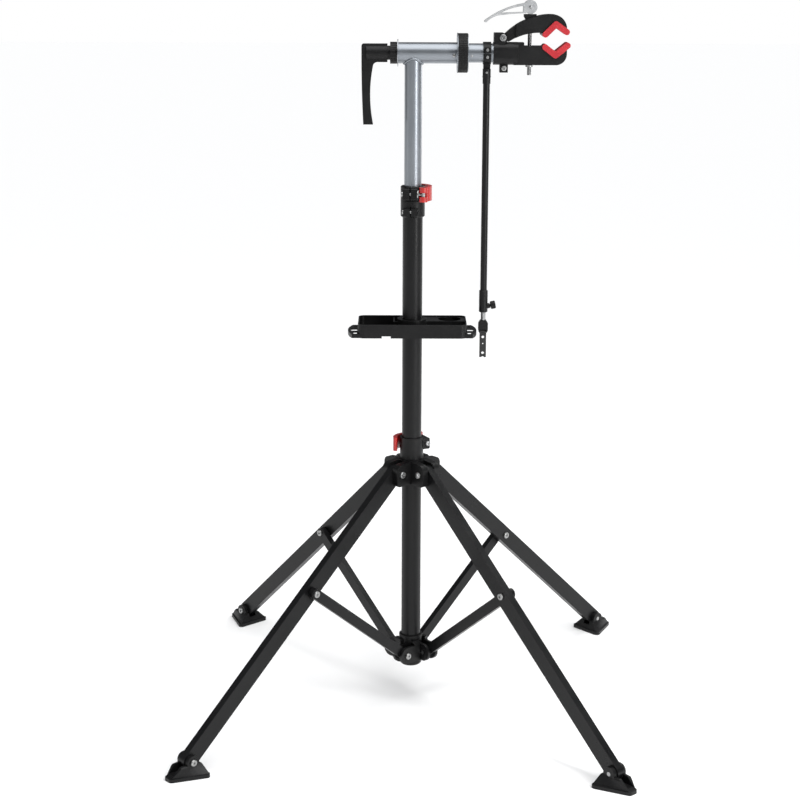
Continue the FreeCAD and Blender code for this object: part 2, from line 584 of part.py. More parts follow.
def foot():
    """Fan-shaped shoe, wide at the heel, with two cheeks that hold the end of the leg."""
    heel = FOOT_PIVOT_RADIUS - FOOT_HEEL_REACH
    tip = FOOT_PIVOT_RADIUS + FOOT_TIP_REACH
    corners = [
        Vector(heel, -FOOT_HEEL_HALF_WIDTH, 0),
        Vector(tip, -FOOT_TIP_HALF_WIDTH, 0),
        Vector(tip, FOOT_TIP_HALF_WIDTH, 0),
        Vector(heel, FOOT_HEEL_HALF_WIDTH, 0),
    ]
    plate = Part.Face(Part.makePolygon(corners + corners[:1])).extrude(Vector(0, 0, FOOT_PLATE_HEIGHT))
    uprights = [e for e in plate.Edges if abs(e.Vertexes[0].Z - e.Vertexes[-1].Z) > 1]
    plate = plate.makeFillet(FOOT_CORNER_ROUND, uprights)
    cheek_outer = LEG_HALF + PLAY + FOOT_CHEEK
    low_wire = Part.makePolygon([
        Vector(heel + 2, -FOOT_HEEL_HALF_WIDTH + 6, FOOT_PLATE_HEIGHT - 1),
        Vector(tip - 3, -FOOT_TIP_HALF_WIDTH + 1, FOOT_PLATE_HEIGHT - 1),
        Vector(tip - 3, FOOT_TIP_HALF_WIDTH - 1, FOOT_PLATE_HEIGHT - 1),
        Vector(heel + 2, FOOT_HEEL_HALF_WIDTH - 6, FOOT_PLATE_HEIGHT - 1),
        Vector(heel + 2, -FOOT_HEEL_HALF_WIDTH + 6, FOOT_PLATE_HEIGHT - 1),
    ])
    back = FOOT_PIVOT_RADIUS - FOOT_FLARE_BACK
    ahead = FOOT_PIVOT_RADIUS + FOOT_FLARE_AHEAD
    high_wire = Part.makePolygon([
        Vector(back, -cheek_outer, FOOT_FLARE_TOP),
        Vector(ahead, -cheek_outer, FOOT_FLARE_TOP),
        Vector(ahead, cheek_outer, FOOT_FLARE_TOP),
        Vector(back, cheek_outer, FOOT_FLARE_TOP),
        Vector(back, -cheek_outer, FOOT_FLARE_TOP),
    ])
    flare = Part.makeLoft([low_wire, high_wire], True, True)
    edges = [e for e in flare.Edges if e.BoundBox.ZMin > FOOT_FLARE_TOP - 0.1]
    flare = flare.makeFillet(3.5, edges)
    tower = block((FOOT_PIVOT_RADIUS - FOOT_CHEEK_ROUND, FOOT_PIVOT_RADIUS + FOOT_CHEEK_ROUND),
                  (-cheek_outer, cheek_outer), (FOOT_PLATE_HEIGHT, FOOT_PIVOT_HEIGHT))
    crown = rod(FOOT_CHEEK_ROUND, (FOOT_PIVOT_RADIUS, -cheek_outer, FOOT_PIVOT_HEIGHT), (0, 1, 0), 2 * cheek_outer)
    body = joined(plate, flare, tower, crown)
    slot_half = LEG_HALF + PLAY
    room = LEG_ROUND + 1.0
    centre = (FOOT_PIVOT_RADIUS, FOOT_PIVOT_HEIGHT)
    tools = [
        rod(room, (centre[0], -slot_half, centre[1]), (0, 1, 0), 2 * slot_half),
        block((centre[0], tip + 5), (-slot_half, slot_half), (FOOT_SLOT_FLOOR, centre[1] + 40)),
        block((centre[0] - 60, centre[0] + 1), (-slot_half, slot_half), (centre[1] - 12, centre[1] + 40)),
        rod(BOLT_RADIUS + RUNNING, (centre[0], -40, centre[1]), (0, 1, 0), 80),
        rod(BOLT_HEAD_RADIUS + PLAY, (centre[0], cheek_outer, centre[1]), (0, 1, 0), 20),
        rod(BOLT_HEAD_RADIUS + PLAY, (centre[0], -cheek_outer, centre[1]), (0, -1, 0), 20),
    ]
    for tool in tools:
        body = body.cut(tool)
    return body


# ---------------------------------------------------------------- tray
def tray_outline(inset, low, high):
    """Tray block with round upright corners."""
    shape = block((-TRAY_HALF_LENGTH + inset, TRAY_HALF_LENGTH - inset),
                  (-TRAY_HALF_DEPTH + inset, TRAY_HALF_DEPTH - inset), (low, high))
    uprights = [e for e in shape.Edges if abs(e.Vertexes[0].Z - e.Vertexes[-1].Z) > 1]
    return shape.makeFillet(TRAY_CORNER - inset, uprights)


def tray_wings():
    """Slotted tool ledges at both ends, with round outer edges centred on the mast."""
    outline = rod(WING_REACH, (0, 0, TRAY_BOTTOM), (0, 0, 1), WING_TOP - TRAY_BOTTOM)
    outline = outline.common(block((-200, 200), (-WING_HALF_DEPTH, WING_HALF_DEPTH), (0, 2000)))
    hollow = rod(WING_REACH - WING_RIM, (0, 0, TRAY_BOTTOM - 1), (0, 0, 1), WING_TOP - WING_PLATE - TRAY_BOTTOM + 1)
    hollow = hollow.common(block((-200, 200), (-WING_HALF_DEPTH + WING_RIM, WING_HALF_DEPTH - WING_RIM), (0, 2000)))
    wings = outline.cut(hollow)
    pitch = 2 * (WING_HALF_DEPTH - WING_RIM) / WING_SLOTS
    for side in (-1, 1):
        for number in range(WING_SLOTS):
            middle = (number - (WING_SLOTS - 1) / 2) * pitch
            reach = math.sqrt(WING_REACH ** 2 - (abs(middle) + WING_SLOT / 2) ** 2) - 5
            x_range = sorted((side * (TRAY_HALF_LENGTH + 2), side * reach))
            wings = wings.cut(block(x_range, (middle - WING_SLOT / 2, middle + WING_SLOT / 2), (TRAY_BOTTOM - 20, TRAY_TOP + 20)))
    return wings.cut(tray_outline(TRAY_WALL / 2, TRAY_BOTTOM - 1, WING_TOP + 1))


def tray():
    shell = tray_outline(0, TRAY_BOTTOM, TRAY_TOP)
    floor_low = TRAY_BOTTOM + TRAY_SKIRT
    shell = shell.cut(tray_outline(TRAY_WALL, floor_low + TRAY_FLOOR, TRAY_TOP + 1))
    shell = shell.cut(tray_outline(TRAY_WALL, TRAY_BOTTOM - 1, floor_low))
    boss = rod(TRAY_BOSS_RADIUS, (0, 0, TRAY_BOTTOM), (0, 0, 1), TRAY_BOSS_TOP - TRAY_BOTTOM)
    back = TRAY_HALF_DEPTH - TRAY_WALL / 2
    bridge = block((-TRAY_BOSS_RADIUS * 0.6, TRAY_BOSS_RADIUS * 0.6), (0, back), (floor_low, TRAY_TOP - 4))
    shelf = block((TRAY_BOSS_RADIUS - 6, TRAY_HALF_LENGTH - TRAY_WALL / 2), (SHELF_FRONT, back),
                  (TRAY_TOP - 4.5, TRAY_TOP - 2))
    shelf_front = block((TRAY_BOSS_RADIUS - 6, TRAY_HALF_LENGTH - TRAY_WALL / 2),
                        (SHELF_FRONT, SHELF_FRONT + TRAY_WALL), (floor_low + 1, TRAY_TOP - 3))
    divider = block((DIVIDER_X - TRAY_WALL / 2, DIVIDER_X + TRAY_WALL / 2), (SHELF_FRONT, back),
                    (floor_low + 1, TRAY_TOP - 3))
    stay = block((DIVIDER_X, -TRAY_BOSS_RADIUS + 8), (SHELF_FRONT, SHELF_FRONT + TRAY_WALL),
                 (floor_low + 1, TRAY_TOP - 3))
    body = joined(shell, boss, bridge, shelf, shelf_front, divider, stay)
    body = joined(body, tray_wings())
    cup = rod(CUP_RADIUS, (CUP_X, CUP_Y, TRAY_TOP - 10), (0, 0, 1), 20)
    cup_back = block((CUP_X - CUP_RADIUS, CUP_X + CUP_RADIUS), (SHELF_FRONT + TRAY_WALL, back - TRAY_WALL / 2),
                     (TRAY_TOP - 10, TRAY_TOP + 10))
    notch = block((NOTCH_X - NOTCH_WIDTH / 2, NOTCH_X + NOTCH_WIDTH / 2),
                  (-TRAY_HALF_DEPTH - 1, -TRAY_HALF_DEPTH + TRAY_WALL + 0.2),
                  (TRAY_BOTTOM - 1, TRAY_BOTTOM + NOTCH_HEIGHT))
    bore_radius = MAST_RADIUS + RUNNING + TRAY_BUSH_WALL + RUNNING
    bore = rod(bore_radius, (0, 0, TRAY_BOTTOM - 1), (0, 0, 1), 60)
    screw_hole = rod(BOLT_RADIUS, (0, 0, TRAY_BOTTOM + 15), (0, 1, 0), TRAY_BOSS_RADIUS + 40)
    head_room = rod(BOLT_HEAD_RADIUS + 1, (0, TRAY_BOSS_RADIUS + 4, TRAY_BOTTOM + 15), (0, 1, 0), 40)
    body = body.cut(cup.common(cup_back)).cut(notch).cut(bore)
    return body.cut(screw_hole).cut(head_room)


def tray_bush():
    inner = MAST_RADIUS + RUNNING
    return ring(inner + TRAY_BUSH_WALL, inner, (0, 0, TRAY_BOTTOM + 0.5), (0, 0, 1), TRAY_BOSS_TOP - TRAY_BOTTOM - 1)


def tray_screw():
    """Clamp screw that presses on the bush from behind."""
    tip = MAST_RADIUS + RUNNING + TRAY_BUSH_WALL + PLAY
    return bolt((0, TRAY_BOSS_RADIUS + 4, TRAY_BOTTOM + 15), (0, -1, 0), TRAY_BOSS_RADIUS + 4 - tip)


# ---------------------------------------------------------------- post and cross tube
def post_tube():
    body = rod(POST_RADIUS, (0, 0, POST_BOTTOM), (0, 0, 1), HEAD_HEIGHT - POST_BOTTOM)
    body = body.cut(rod(POST_RADIUS - POST_WALL, (0, 0, POST_BOTTOM - 1), (0, 0, 1), HEAD_HEIGHT))
    return body.cut(rod(TEE_RADIUS, (-60, 0, HEAD_HEIGHT), (1, 0, 0), 120))


def post_end_plug():
    """Guide plug that follows the bottom of the post and lets the post turn."""
    plug = rod(MAST_BORE - RUNNING, (0, 0, POST_BOTTOM - PLAY - PLUG_LENGTH), (0, 0, 1), PLUG_LENGTH)
    spigot = rod(POST_RADIUS - POST_WALL - RUNNING, (0, 0, POST_BOTTOM - PLAY), (0, 0, 1), PLUG_SPIGOT)
    return joined(plug, spigot)


def tee_tube():
    """Cross tube with its end flange and the backing plate of the index disc."""
    bore = SHAFT_RADIUS + RUNNING
    tube = rod(TEE_RADIUS, (TEE_LEFT, 0, HEAD_HEIGHT), (1, 0, 0), DISC_LEFT - TEE_LEFT)
    flange = rod(TEE_FLANGE_RADIUS, (TEE_LEFT, 0, HEAD_HEIGHT), (1, 0, 0), TEE_FLANGE)
    plate = rod(DISC_RADIUS + 0.8, (DISC_LEFT - DISC_PLATE, 0, HEAD_HEIGHT), (1, 0, 0), DISC_PLATE)
    body = joined(tube, flange, plate)
    open_end = rod(bore, (TEE_LEFT + 2, 0, HEAD_HEIGHT), (1, 0, 0), 200)
    rod_hole = rod(DRAW_ROD_RADIUS + RUNNING, (TEE_LEFT - 1, 0, HEAD_HEIGHT), (1, 0, 0), 20)
    return body.cut(open_end).cut(rod_hole)


def index_disc(left, right):
    """Ribbed disc half on the clamp shaft."""
    disc = ring(DISC_RADIUS, SHAFT_RADIUS + RUNNING, (left, 0, HEAD_HEIGHT), (1, 0, 0), right - left)
    groove = rod(1.3, (left - 1, 0, HEAD_HEIGHT + DISC_RADIUS + 0.4), (1, 0, 0), right - left + 2)
    for number in range(DISC_RIBS):
        cutter = groove.copy()
        cutter.rotate(Vector(0, 0, HEAD_HEIGHT), X_AXIS, number * 360 / DISC_RIBS)
        disc = disc.cut(cutter)
    return disc


# ---------------------------------------------------------------- tightening handle
def handle_arm():
    """L-shaped handle: a boss on the draw rod and a grip that hangs down and flares at its end."""
    right = TEE_LEFT - HANDLE_COLLAR_LENGTH - HANDLE_NECK_LENGTH
    left = -HANDLE_REACH
    top = HEAD_HEIGHT + HANDLE_BOSS_RADIUS
    low = HEAD_HEIGHT - HANDLE_BOSS_RADIUS
    end = HEAD_HEIGHT - HANDLE_LENGTH
    waist = (top + end) / 2 - 10
    half = HANDLE_THICKNESS / 2
    arm = upright([
        (right, low), (right, top), (left + 4, top),
        ((left + 1.2, top - 1.2), (left, top - 4)),
        ((left + 0.6, waist), (left + 3, end)),
        (left + 3 + HANDLE_GRIP_WIDTH, end),
        ((left + HANDLE_GRIP_WIDTH - 2, waist), (left + HANDLE_GRIP_WIDTH + 3, low - 8)),
        ((left + HANDLE_GRIP_WIDTH + 5.5, low - 2.5), (left + HANDLE_GRIP_WIDTH + 12, low)),
    ], -half, half)
    boss = rod(HANDLE_BOSS_RADIUS, (left + HANDLE_GRIP_WIDTH / 2, 0, HEAD_HEIGHT), (1, 0, 0),
               right - left - HANDLE_GRIP_WIDTH / 2)
    neck = rod(HANDLE_NECK_RADIUS, (right - 1, 0, HEAD_HEIGHT), (1, 0, 0), HANDLE_NECK_LENGTH + 1)
    body = joined(arm, boss, neck)
    return body.cut(rod(DRAW_ROD_RADIUS + SEAT, (right - 30, 0, HEAD_HEIGHT), (1, 0, 0), 60))


def handle_collar():
    """Ribbed thrust collar between the handle and the cross tube."""
    left = TEE_LEFT - HANDLE_COLLAR_LENGTH
    collar = ring(HANDLE_COLLAR_RADIUS, DRAW_ROD_RADIUS + SEAT, (left, 0, HEAD_HEIGHT), (1, 0, 0),
                  HANDLE_COLLAR_LENGTH - 0.3)
    groove = rod(1.2, (left - 1, 0, HEAD_HEIGHT + HANDLE_COLLAR_RADIUS + 0.5), (1, 0, 0), HANDLE_COLLAR_LENGTH + 2)
    for number in range(24):
        cutter = groove.copy()
        cutter.rotate(Vector(0, 0, HEAD_HEIGHT), X_AXIS, number * 15)
        collar = collar.cut(cutter)
    return collar


def draw_rod():
    """Threaded rod that pulls the clamp shaft against the index discs."""
    left = TEE_LEFT - HANDLE_COLLAR_LENGTH - HANDLE_NECK_LENGTH - 30
    return rod(DRAW_ROD_RADIUS, (left, 0, HEAD_HEIGHT), (1, 0, 0), SHAFT_LEFT + 40 - left)


# ---------------------------------------------------------------- clamp shaft and jaws
def clamp_shaft():
    """Tube that carries the jaws, closed at its inner end for the draw rod."""
    end = SEAM_X - 4
    tube = rod(SHAFT_RADIUS, (SHAFT_LEFT, 0, HEAD_HEIGHT), (1, 0, 0), end - SHAFT_LEFT)
    core = rod(SHAFT_RADIUS - SHAFT_WALL, (SHAFT_LEFT + 12, 0, HEAD_HEIGHT), (1, 0, 0), end)
    plate = ring(DISC_RADIUS - 1, SHAFT_RADIUS - 1, (DISC_RIGHT, 0, HEAD_HEIGHT), (1, 0, 0), DISC_PLATE)
    rod_hole = rod(DRAW_ROD_RADIUS + RUNNING, (SHAFT_LEFT - 1, 0, HEAD_HEIGHT), (1, 0, 0), 30)
    return joined(tube.cut(core), plate).cut(rod_hole)


def pad(heel, apex, toe, half_width):
    """V-shaped soft pad from two round-ended arms."""
    return joined(
        capsule(heel, apex, PAD_THICKNESS / 2, -half_width, half_width),
        capsule(apex, toe, PAD_THICKNESS / 2, -half_width, half_width),
    )


def lower_pad(half_width=PAD_HALF_WIDTH):
    return pad((PAD_HEEL_X, LOWER_HEEL_Z), (PAD_APEX_X, LOWER_APEX_Z), (LOWER_TOE_X, LOWER_TOE_Z), half_width)


def upper_pad(half_width=PAD_HALF_WIDTH):
    return pad((PAD_HEEL_X, UPPER_HEEL_Z), (PAD_APEX_X, UPPER_APEX_Z), (UPPER_TOE_X, UPPER_TOE_Z), half_width)


def lower_jaw():
    """Casting with the shaft socket, the pivot ears, the pinch lug and the fixed jaw."""
    socket = block((SOCKET_LEFT, SEAM_X), (-SOCKET_RADIUS, SOCKET_RADIUS),
                   (JAW_BOTTOM, HEAD_HEIGHT + SOCKET_RADIUS - 1))
    edges = [e for e in socket.Edges if abs(e.Vertexes[0].X - e.Vertexes[-1].X) > 1]
    socket = socket.makeFillet(min(SOCKET_CORNER, 0.7 * SOCKET_RADIUS), edges)
    step = block((SEAM_X - 8, SEAM_X + 11), (-JAW_HALF_WIDTH, JAW_HALF_WIDTH), (JAW_BOTTOM, JAW_TOP + 6))
    jaw = upright([
        (SEAM_X - 8, JAW_BOTTOM),
        (JAW_END - JAW_NOSE_ROUND, JAW_BOTTOM),
        ((JAW_END - JAW_NOSE_ROUND * 0.293, JAW_BOTTOM + JAW_NOSE_ROUND * 0.293), (JAW_END, JAW_BOTTOM + JAW_NOSE_ROUND)),
        (JAW_END, JAW_TOP),
        (SEAM_X - 8, JAW_TOP),
    ], -JAW_HALF_WIDTH, JAW_HALF_WIDTH)
    ear = upright([
        (SOCKET_LEFT + 1, HEAD_HEIGHT),
        (SOCKET_LEFT + 1, EAR_TOP),
        (JAW_PIVOT_X, EAR_TOP),
        ((JAW_PIVOT_X + (EAR_TOP - JAW_PIVOT_Z), JAW_PIVOT_Z), (JAW_PIVOT_X + 3, HEAD_HEIGHT + SOCKET_RADIUS - 4)),
        (JAW_PIVOT_X + 3, HEAD_HEIGHT),
    ], -JAW_HALF_WIDTH + 0.5, JAW_HALF_WIDTH - 0.5)
    lug = block((PINCH_LUG_X - PINCH_LUG_LENGTH / 2, PINCH_LUG_X + PINCH_LUG_LENGTH / 2),
                (-11, 11), (PINCH_BOLT_HEIGHT - 8, JAW_BOTTOM + 4))
    body = joined(socket, step, jaw, ear, lug)
    arm_room = LOWER_HEEL_Z + PAD_THICKNESS
    tools = [
        block((SOCKET_LEFT + 4.5, SEAM_X + 60), (-EAR_HALF_GAP, EAR_HALF_GAP), (HEAD_HEIGHT + SOCKET_RADIUS - 1, EAR_TOP + 5)),
        rod(SHAFT_RADIUS + SEAT, (SOCKET_LEFT - 1, 0, HEAD_HEIGHT), (1, 0, 0), SEAM_X - 4 - SOCKET_LEFT + 1),
        rod(BOLT_RADIUS, (JAW_PIVOT_X, -40, JAW_PIVOT_Z), (0, 1, 0), 80),
        rod(LOCK_BOLT_RADIUS, (PINCH_LUG_X, -40, PINCH_BOLT_HEIGHT), (0, 1, 0), 80),
        block((SOCKET_LEFT - 1, SEAM_X - 10), (-1.2, 1.2), (PINCH_BOLT_HEIGHT - 9, HEAD_HEIGHT)),
        rod(STUD_RADIUS + 1, (STUD_X, 0, JAW_BOTTOM - 5), (0, 0, 1), 60),
        rod(9 + SEAT, (STUD_X, 0, JAW_BOTTOM + 8), (0, 0, 1), 40),
        lower_pad(JAW_HALF_WIDTH + 5),
        upright([(PAD_HEEL_X, arm_room), (PAD_HEEL_X, LOWER_HEEL_Z), (PAD_APEX_X, LOWER_APEX_Z),
                 (LOWER_TOE_X, LOWER_TOE_Z), (LOWER_TOE_X + 10, arm_room)], -JAW_HALF_WIDTH - 5, JAW_HALF_WIDTH + 5),
    ]
    for tool in tools:
        body = body.cut(tool)
    for side in (-1, 1):
        face = side * JAW_HALF_WIDTH
        seam = block((SEAM_X - 0.5, SEAM_X + 0.5), sorted((face - side * 0.5, face + side)), (JAW_BOTTOM - 1, JAW_TOP))
        body = body.cut(seam)
    return body


def lower_jaw_bolts():
    """Pivot bolt of the upper jaw and the bolt that pinches the socket on its shaft."""
    width = JAW_HALF_WIDTH - 0.5
    pivot = bolt((JAW_PIVOT_X, -width, JAW_PIVOT_Z), (0, 1, 0), 2 * width + 1)
    pinch = bolt((PINCH_LUG_X, -11, PINCH_BOLT_HEIGHT), (0, 1, 0), 20, LOCK_BOLT_RADIUS, 5, 4)
    return group(pivot, pinch)


def stud_nut():
    """Nut sunk in the lower jaw, with a collar that shows under the casting."""
    seat = rod(9, (STUD_X, 0, JAW_BOTTOM + 8), (0, 0, 1), 12)
    neck = rod(STUD_RADIUS + 1 - SEAT, (STUD_X, 0, JAW_BOTTOM), (0, 0, 1), 9)
    collar = rod(7, (STUD_X, 0, JAW_BOTTOM - 4), (0, 0, 1), 4)
    bore = rod(STUD_RADIUS + RUNNING, (STUD_X, 0, JAW_BOTTOM - 10), (0, 0, 1), 60)
    return joined(seat, neck, collar).cut(bore)


def upper_jaw():
    """Curved arm from the pivot over to the nose, with a pocket and a slot for the clamp stud."""
    px, pz = JAW_PIVOT_X, JAW_PIVOT_Z
    nose_x = JAW_END - 1
    nose_top = pz + 42
    arm = upright([
        (px + 5, pz + 8),
        ((px + 28, pz + 25.5), (px + 60, pz + 38)),
        ((px + 76, pz + 41.6), (px + 93, nose_top)),
        ((nose_x - 5.5, nose_top - 10), (nose_x, pz + 20)),
        (UPPER_TOE_X, pz + 8),
        (PAD_HEEL_X - 5, pz + 8.6),
        ((px + 38, pz + 5), (px + 12, pz - 7)),
        ((px + 2, pz - 1), (px + 5, pz + 8)),
    ], -JAW_HALF_WIDTH + 1, JAW_HALF_WIDTH - 1)
    narrow = block((px - 20, SEAM_X - 4), (-40, 40), (pz - 30, pz + 60))
    keep = block((px - 20, SEAM_X - 4), (-ARM_HALF_WIDTH, ARM_HALF_WIDTH), (pz - 30, pz + 60))
    arm = arm.cut(narrow.cut(keep))
    eye = rod(8.2, (px, -ARM_HALF_WIDTH, pz), (0, 1, 0), 2 * ARM_HALF_WIDTH)
    body = joined(arm, eye)
    swing = math.radians(JAW_OPENING)
    depth = POCKET_FLOOR - pz
    reach = STUD_X - px
    travel = (reach + depth * math.sin(swing)) / math.cos(swing) - reach
    hole = STUD_RADIUS + 0.6
    tools = [
        rod(BOLT_RADIUS + RUNNING, (px, -40, pz), (0, 1, 0), 80),
        block((STUD_X - 16, STUD_X + 18), (-POCKET_HALF_WIDTH, POCKET_HALF_WIDTH), (POCKET_FLOOR, POCKET_FLOOR + 30)),
        block((STUD_X, STUD_X + travel), (-hole, hole), (pz - 20, POCKET_FLOOR + 10)),
        rod(hole, (STUD_X, 0, pz - 20), (0, 0, 1), 80),
        rod(hole, (STUD_X + travel, 0, pz - 20), (0, 0, 1), 80),
        upper_pad(JAW_HALF_WIDTH + 5),
        upright([(PAD_HEEL_X, pz - 20), (PAD_HEEL_X, UPPER_HEEL_Z), (PAD_APEX_X, UPPER_APEX_Z),
                 (UPPER_TOE_X, UPPER_TOE_Z), (UPPER_TOE_X + 10, pz - 20)], -JAW_HALF_WIDTH - 5, JAW_HALF_WIDTH + 5),
    ]
    for tool in tools:
        body = body.cut(tool)
    return body


def clamp_stud():
    """Threaded stud with the cross pin of the cam lever at its top."""
    stem = rod(STUD_RADIUS, (STUD_X, 0, STUD_BOTTOM), (0, 0, 1), CAM_HEIGHT - STUD_BOTTOM)
    eye = rod(STUD_RADIUS + 1, (STUD_X, -STUD_EYE_HALF, CAM_HEIGHT), (0, 1, 0), 2 * STUD_EYE_HALF)
    pin = rod(3, (STUD_X, -CAM_HALF_WIDTH, CAM_HEIGHT), (0, 1, 0), 2 * CAM_HALF_WIDTH)
    return joined(stem, eye, pin)


def stud_collar():
    """Saddle block between the cam and the upper jaw."""
    top = CAM_HEIGHT - CAM_DISC_RADIUS - 0.4
    low = POCKET_FLOOR + 0.3
    body = upright([
        (STUD_X - 9, low), (STUD_X + 9, low), (STUD_X + 11.5, low + 4), (STUD_X + 11.5, top),
        (STUD_X - 11.5, top), (STUD_X - 11.5, low + 4),
    ], -CAM_HALF_WIDTH, CAM_HALF_WIDTH)
    return body.cut(rod(STUD_RADIUS + SEAT, (STUD_X, 0, low - 1), (0, 0, 1), 30))


def cam_lever():
    """Cam disc with a long curved handle that has a tapered window next to the cam."""
    cx, cz = STUD_X, CAM_HEIGHT
    disc = rod(CAM_DISC_RADIUS, (cx, -CAM_HALF_WIDTH, cz), (0, 1, 0), 2 * CAM_HALF_WIDTH)
    handle = upright([
        (cx - 8, cz + 7.5),
        ((cx - 46, cz - 3), (cx - 84, cz - 24.5)),
        ((cx - 83.5, cz - 27.5), (cx - 80.5, cz - 27.5)),
        ((cx - 66, cz - 17.8), (cx - 50, cz - 14.5)),
        ((cx - 30, cz - 12.3), (cx - 8, cz - 11.5)),
    ], -CAM_HALF_WIDTH, CAM_HALF_WIDTH)
    window = upright([
        (cx - 13, cz + 1.8),
        ((cx - 34, cz - 2.6), (cx - 55, cz - 11)),
        ((cx - 34, cz - 9.8), (cx - 13, cz - 9.2)),
    ], -CAM_HALF_WIDTH - 1, CAM_HALF_WIDTH + 1)
    body = joined(disc, handle).cut(window)
    slot_half = STUD_EYE_HALF + PLAY
    slot = block((cx - slot_half, cx + CAM_DISC_RADIUS + 1), (-slot_half, slot_half),
                 (cz - CAM_DISC_RADIUS - 1, cz + CAM_DISC_RADIUS + 1))
    eye_room = rod(STUD_RADIUS + 1.4, (cx, -slot_half, cz), (0, 1, 0), 2 * slot_half)
    bore = rod(3 + RUNNING, (cx, -40, cz), (0, 1, 0), 80)
    return body.cut(slot).cut(eye_room).cut(bore)


# ---------------------------------------------------------------- handlebar holder
def holder_collar():
    """Clamp ring on the shaft with a tongue for the rod below it."""
    left = HOLDER_X - HOLDER_LENGTH / 2
    body = rod(SHAFT_RADIUS + HOLDER_RING, (left, 0, HEAD_HEIGHT), (1, 0, 0), HOLDER_LENGTH)
    swing_room = math.hypot(KNUCKLE_RADIUS, KNUCKLE_ROUND) + PLAY
    neck = block((HOLDER_X - KNUCKLE_ROUND, HOLDER_X + KNUCKLE_ROUND), (-8, 8),
                 (KNUCKLE_Z + swing_room, HEAD_HEIGHT - SHAFT_RADIUS + 2))
    tongue = block((HOLDER_X - KNUCKLE_ROUND, HOLDER_X + KNUCKLE_ROUND), (-TONGUE_HALF, TONGUE_HALF),
                   (KNUCKLE_Z, HEAD_HEIGHT - SHAFT_RADIUS + 2))
    eye = rod(KNUCKLE_ROUND, (HOLDER_X, -TONGUE_HALF, KNUCKLE_Z), (0, 1, 0), 2 * TONGUE_HALF)
    body = joined(body, neck, tongue, eye)
    body = body.cut(rod(SHAFT_RADIUS + RUNNING, (left - 1, 0, HEAD_HEIGHT), (1, 0, 0), HOLDER_LENGTH + 2))
    body = body.cut(rod(2.0, (HOLDER_X, -40, KNUCKLE_Z), (0, 1, 0), 80))
    slit_y = -(SHAFT_RADIUS + HOLDER_RING)
    ear = block((HOLDER_X - 5.5, HOLDER_X + 5.5), (slit_y - 4.5, slit_y + 2), (HEAD_HEIGHT - 11, HEAD_HEIGHT + 11))
    ear = ear.cut(rod(SHAFT_RADIUS + 1, (left - 1, 0, HEAD_HEIGHT), (1, 0, 0), HOLDER_LENGTH + 2))
    body = joined(body, ear)
    body = body.cut(block((left - 1, left + HOLDER_LENGTH + 1), (slit_y - 6, -SHAFT_RADIUS + 1),
                          (HEAD_HEIGHT - 0.8, HEAD_HEIGHT + 0.8)))
    for height in (-6.5, 6.5):
        body = body.cut(rod(1.6, (HOLDER_X, slit_y - 6, HEAD_HEIGHT + height), (0, 1, 0), 4.5))
    return body


def holder_screws():
    """Two small clamp screws and the knuckle pin."""
    front = -(SHAFT_RADIUS + HOLDER_RING) - 4.5
    pieces = [bolt((HOLDER_X, front, HEAD_HEIGHT + h), (0, 1, 0), 3, 1.6, 2.6, 1.4) for h in (-6.5, 6.5)]
    pieces.append(rod(2.0, (HOLDER_X, -KNUCKLE_RADIUS + 0.6, KNUCKLE_Z), (0, 1, 0), 2 * KNUCKLE_RADIUS - 1.2))
    return group(*pieces)


def rod_knuckle():
    """Forked end piece that the outer tube is pressed into."""
    high = KNUCKLE_Z + KNUCKLE_ROUND
    low = KNUCKLE_Z - KNUCKLE_ROUND - 2
    body = rod(KNUCKLE_RADIUS, (HOLDER_X, 0, low), (0, 0, 1), high - low)
    body = body.fuse(rod(ROD_RADIUS + 1, (HOLDER_X, 0, low - 12), (0, 0, 1), 13))
    gap = TONGUE_HALF + 0.35
    body = body.cut(block((HOLDER_X - 20, HOLDER_X + 20), (-gap, gap), (KNUCKLE_Z - KNUCKLE_ROUND - 0.6, high + 5)))
    body = body.cut(rod(2.0 + RUNNING, (HOLDER_X, -40, KNUCKLE_Z), (0, 1, 0), 80))
    return body.cut(rod(ROD_RADIUS + SEAT, (HOLDER_X, 0, low - 20), (0, 0, 1), 20 + ROD_TOP - low))


def rod_tube():
    return ring(ROD_RADIUS, ROD_RADIUS - ROD_WALL, (HOLDER_X, 0, ROD_BOTTOM), (0, 0, 1), ROD_TOP - ROD_BOTTOM)


def knob_frame():
    """Centre of the thumb screw on the sleeve's axis and its direction."""
    tilt = math.radians(KNOB_TILT)
    return Vector(HOLDER_X, 0, KNOB_HEIGHT - 1.5), Vector(math.cos(tilt), 0, math.sin(tilt))


def rod_sleeve():
    """Sleeve over the bottom of the outer tube, with a boss for the thumb screw."""
    body = rod(SLEEVE_RADIUS, (HOLDER_X, 0, SLEEVE_BOTTOM), (0, 0, 1), SLEEVE_TOP - SLEEVE_BOTTOM)
    rims = [e for e in body.Edges if isinstance(e.Curve, Part.Circle)]
    body = body.makeChamfer(1.2, rims)
    centre, way = knob_frame()
    body = body.fuse(Part.makeCylinder(5, SLEEVE_RADIUS + 4.5, centre, way))
    body = body.cut(rod(INNER_ROD_RADIUS + RUNNING, (HOLDER_X, 0, SLEEVE_BOTTOM - 1), (0, 0, 1), 60))
    body = body.cut(rod(ROD_RADIUS + SEAT, (HOLDER_X, 0, ROD_BOTTOM), (0, 0, 1), 60))
    return body.cut(Part.makeCylinder(3 + RUNNING, 40, centre, way))


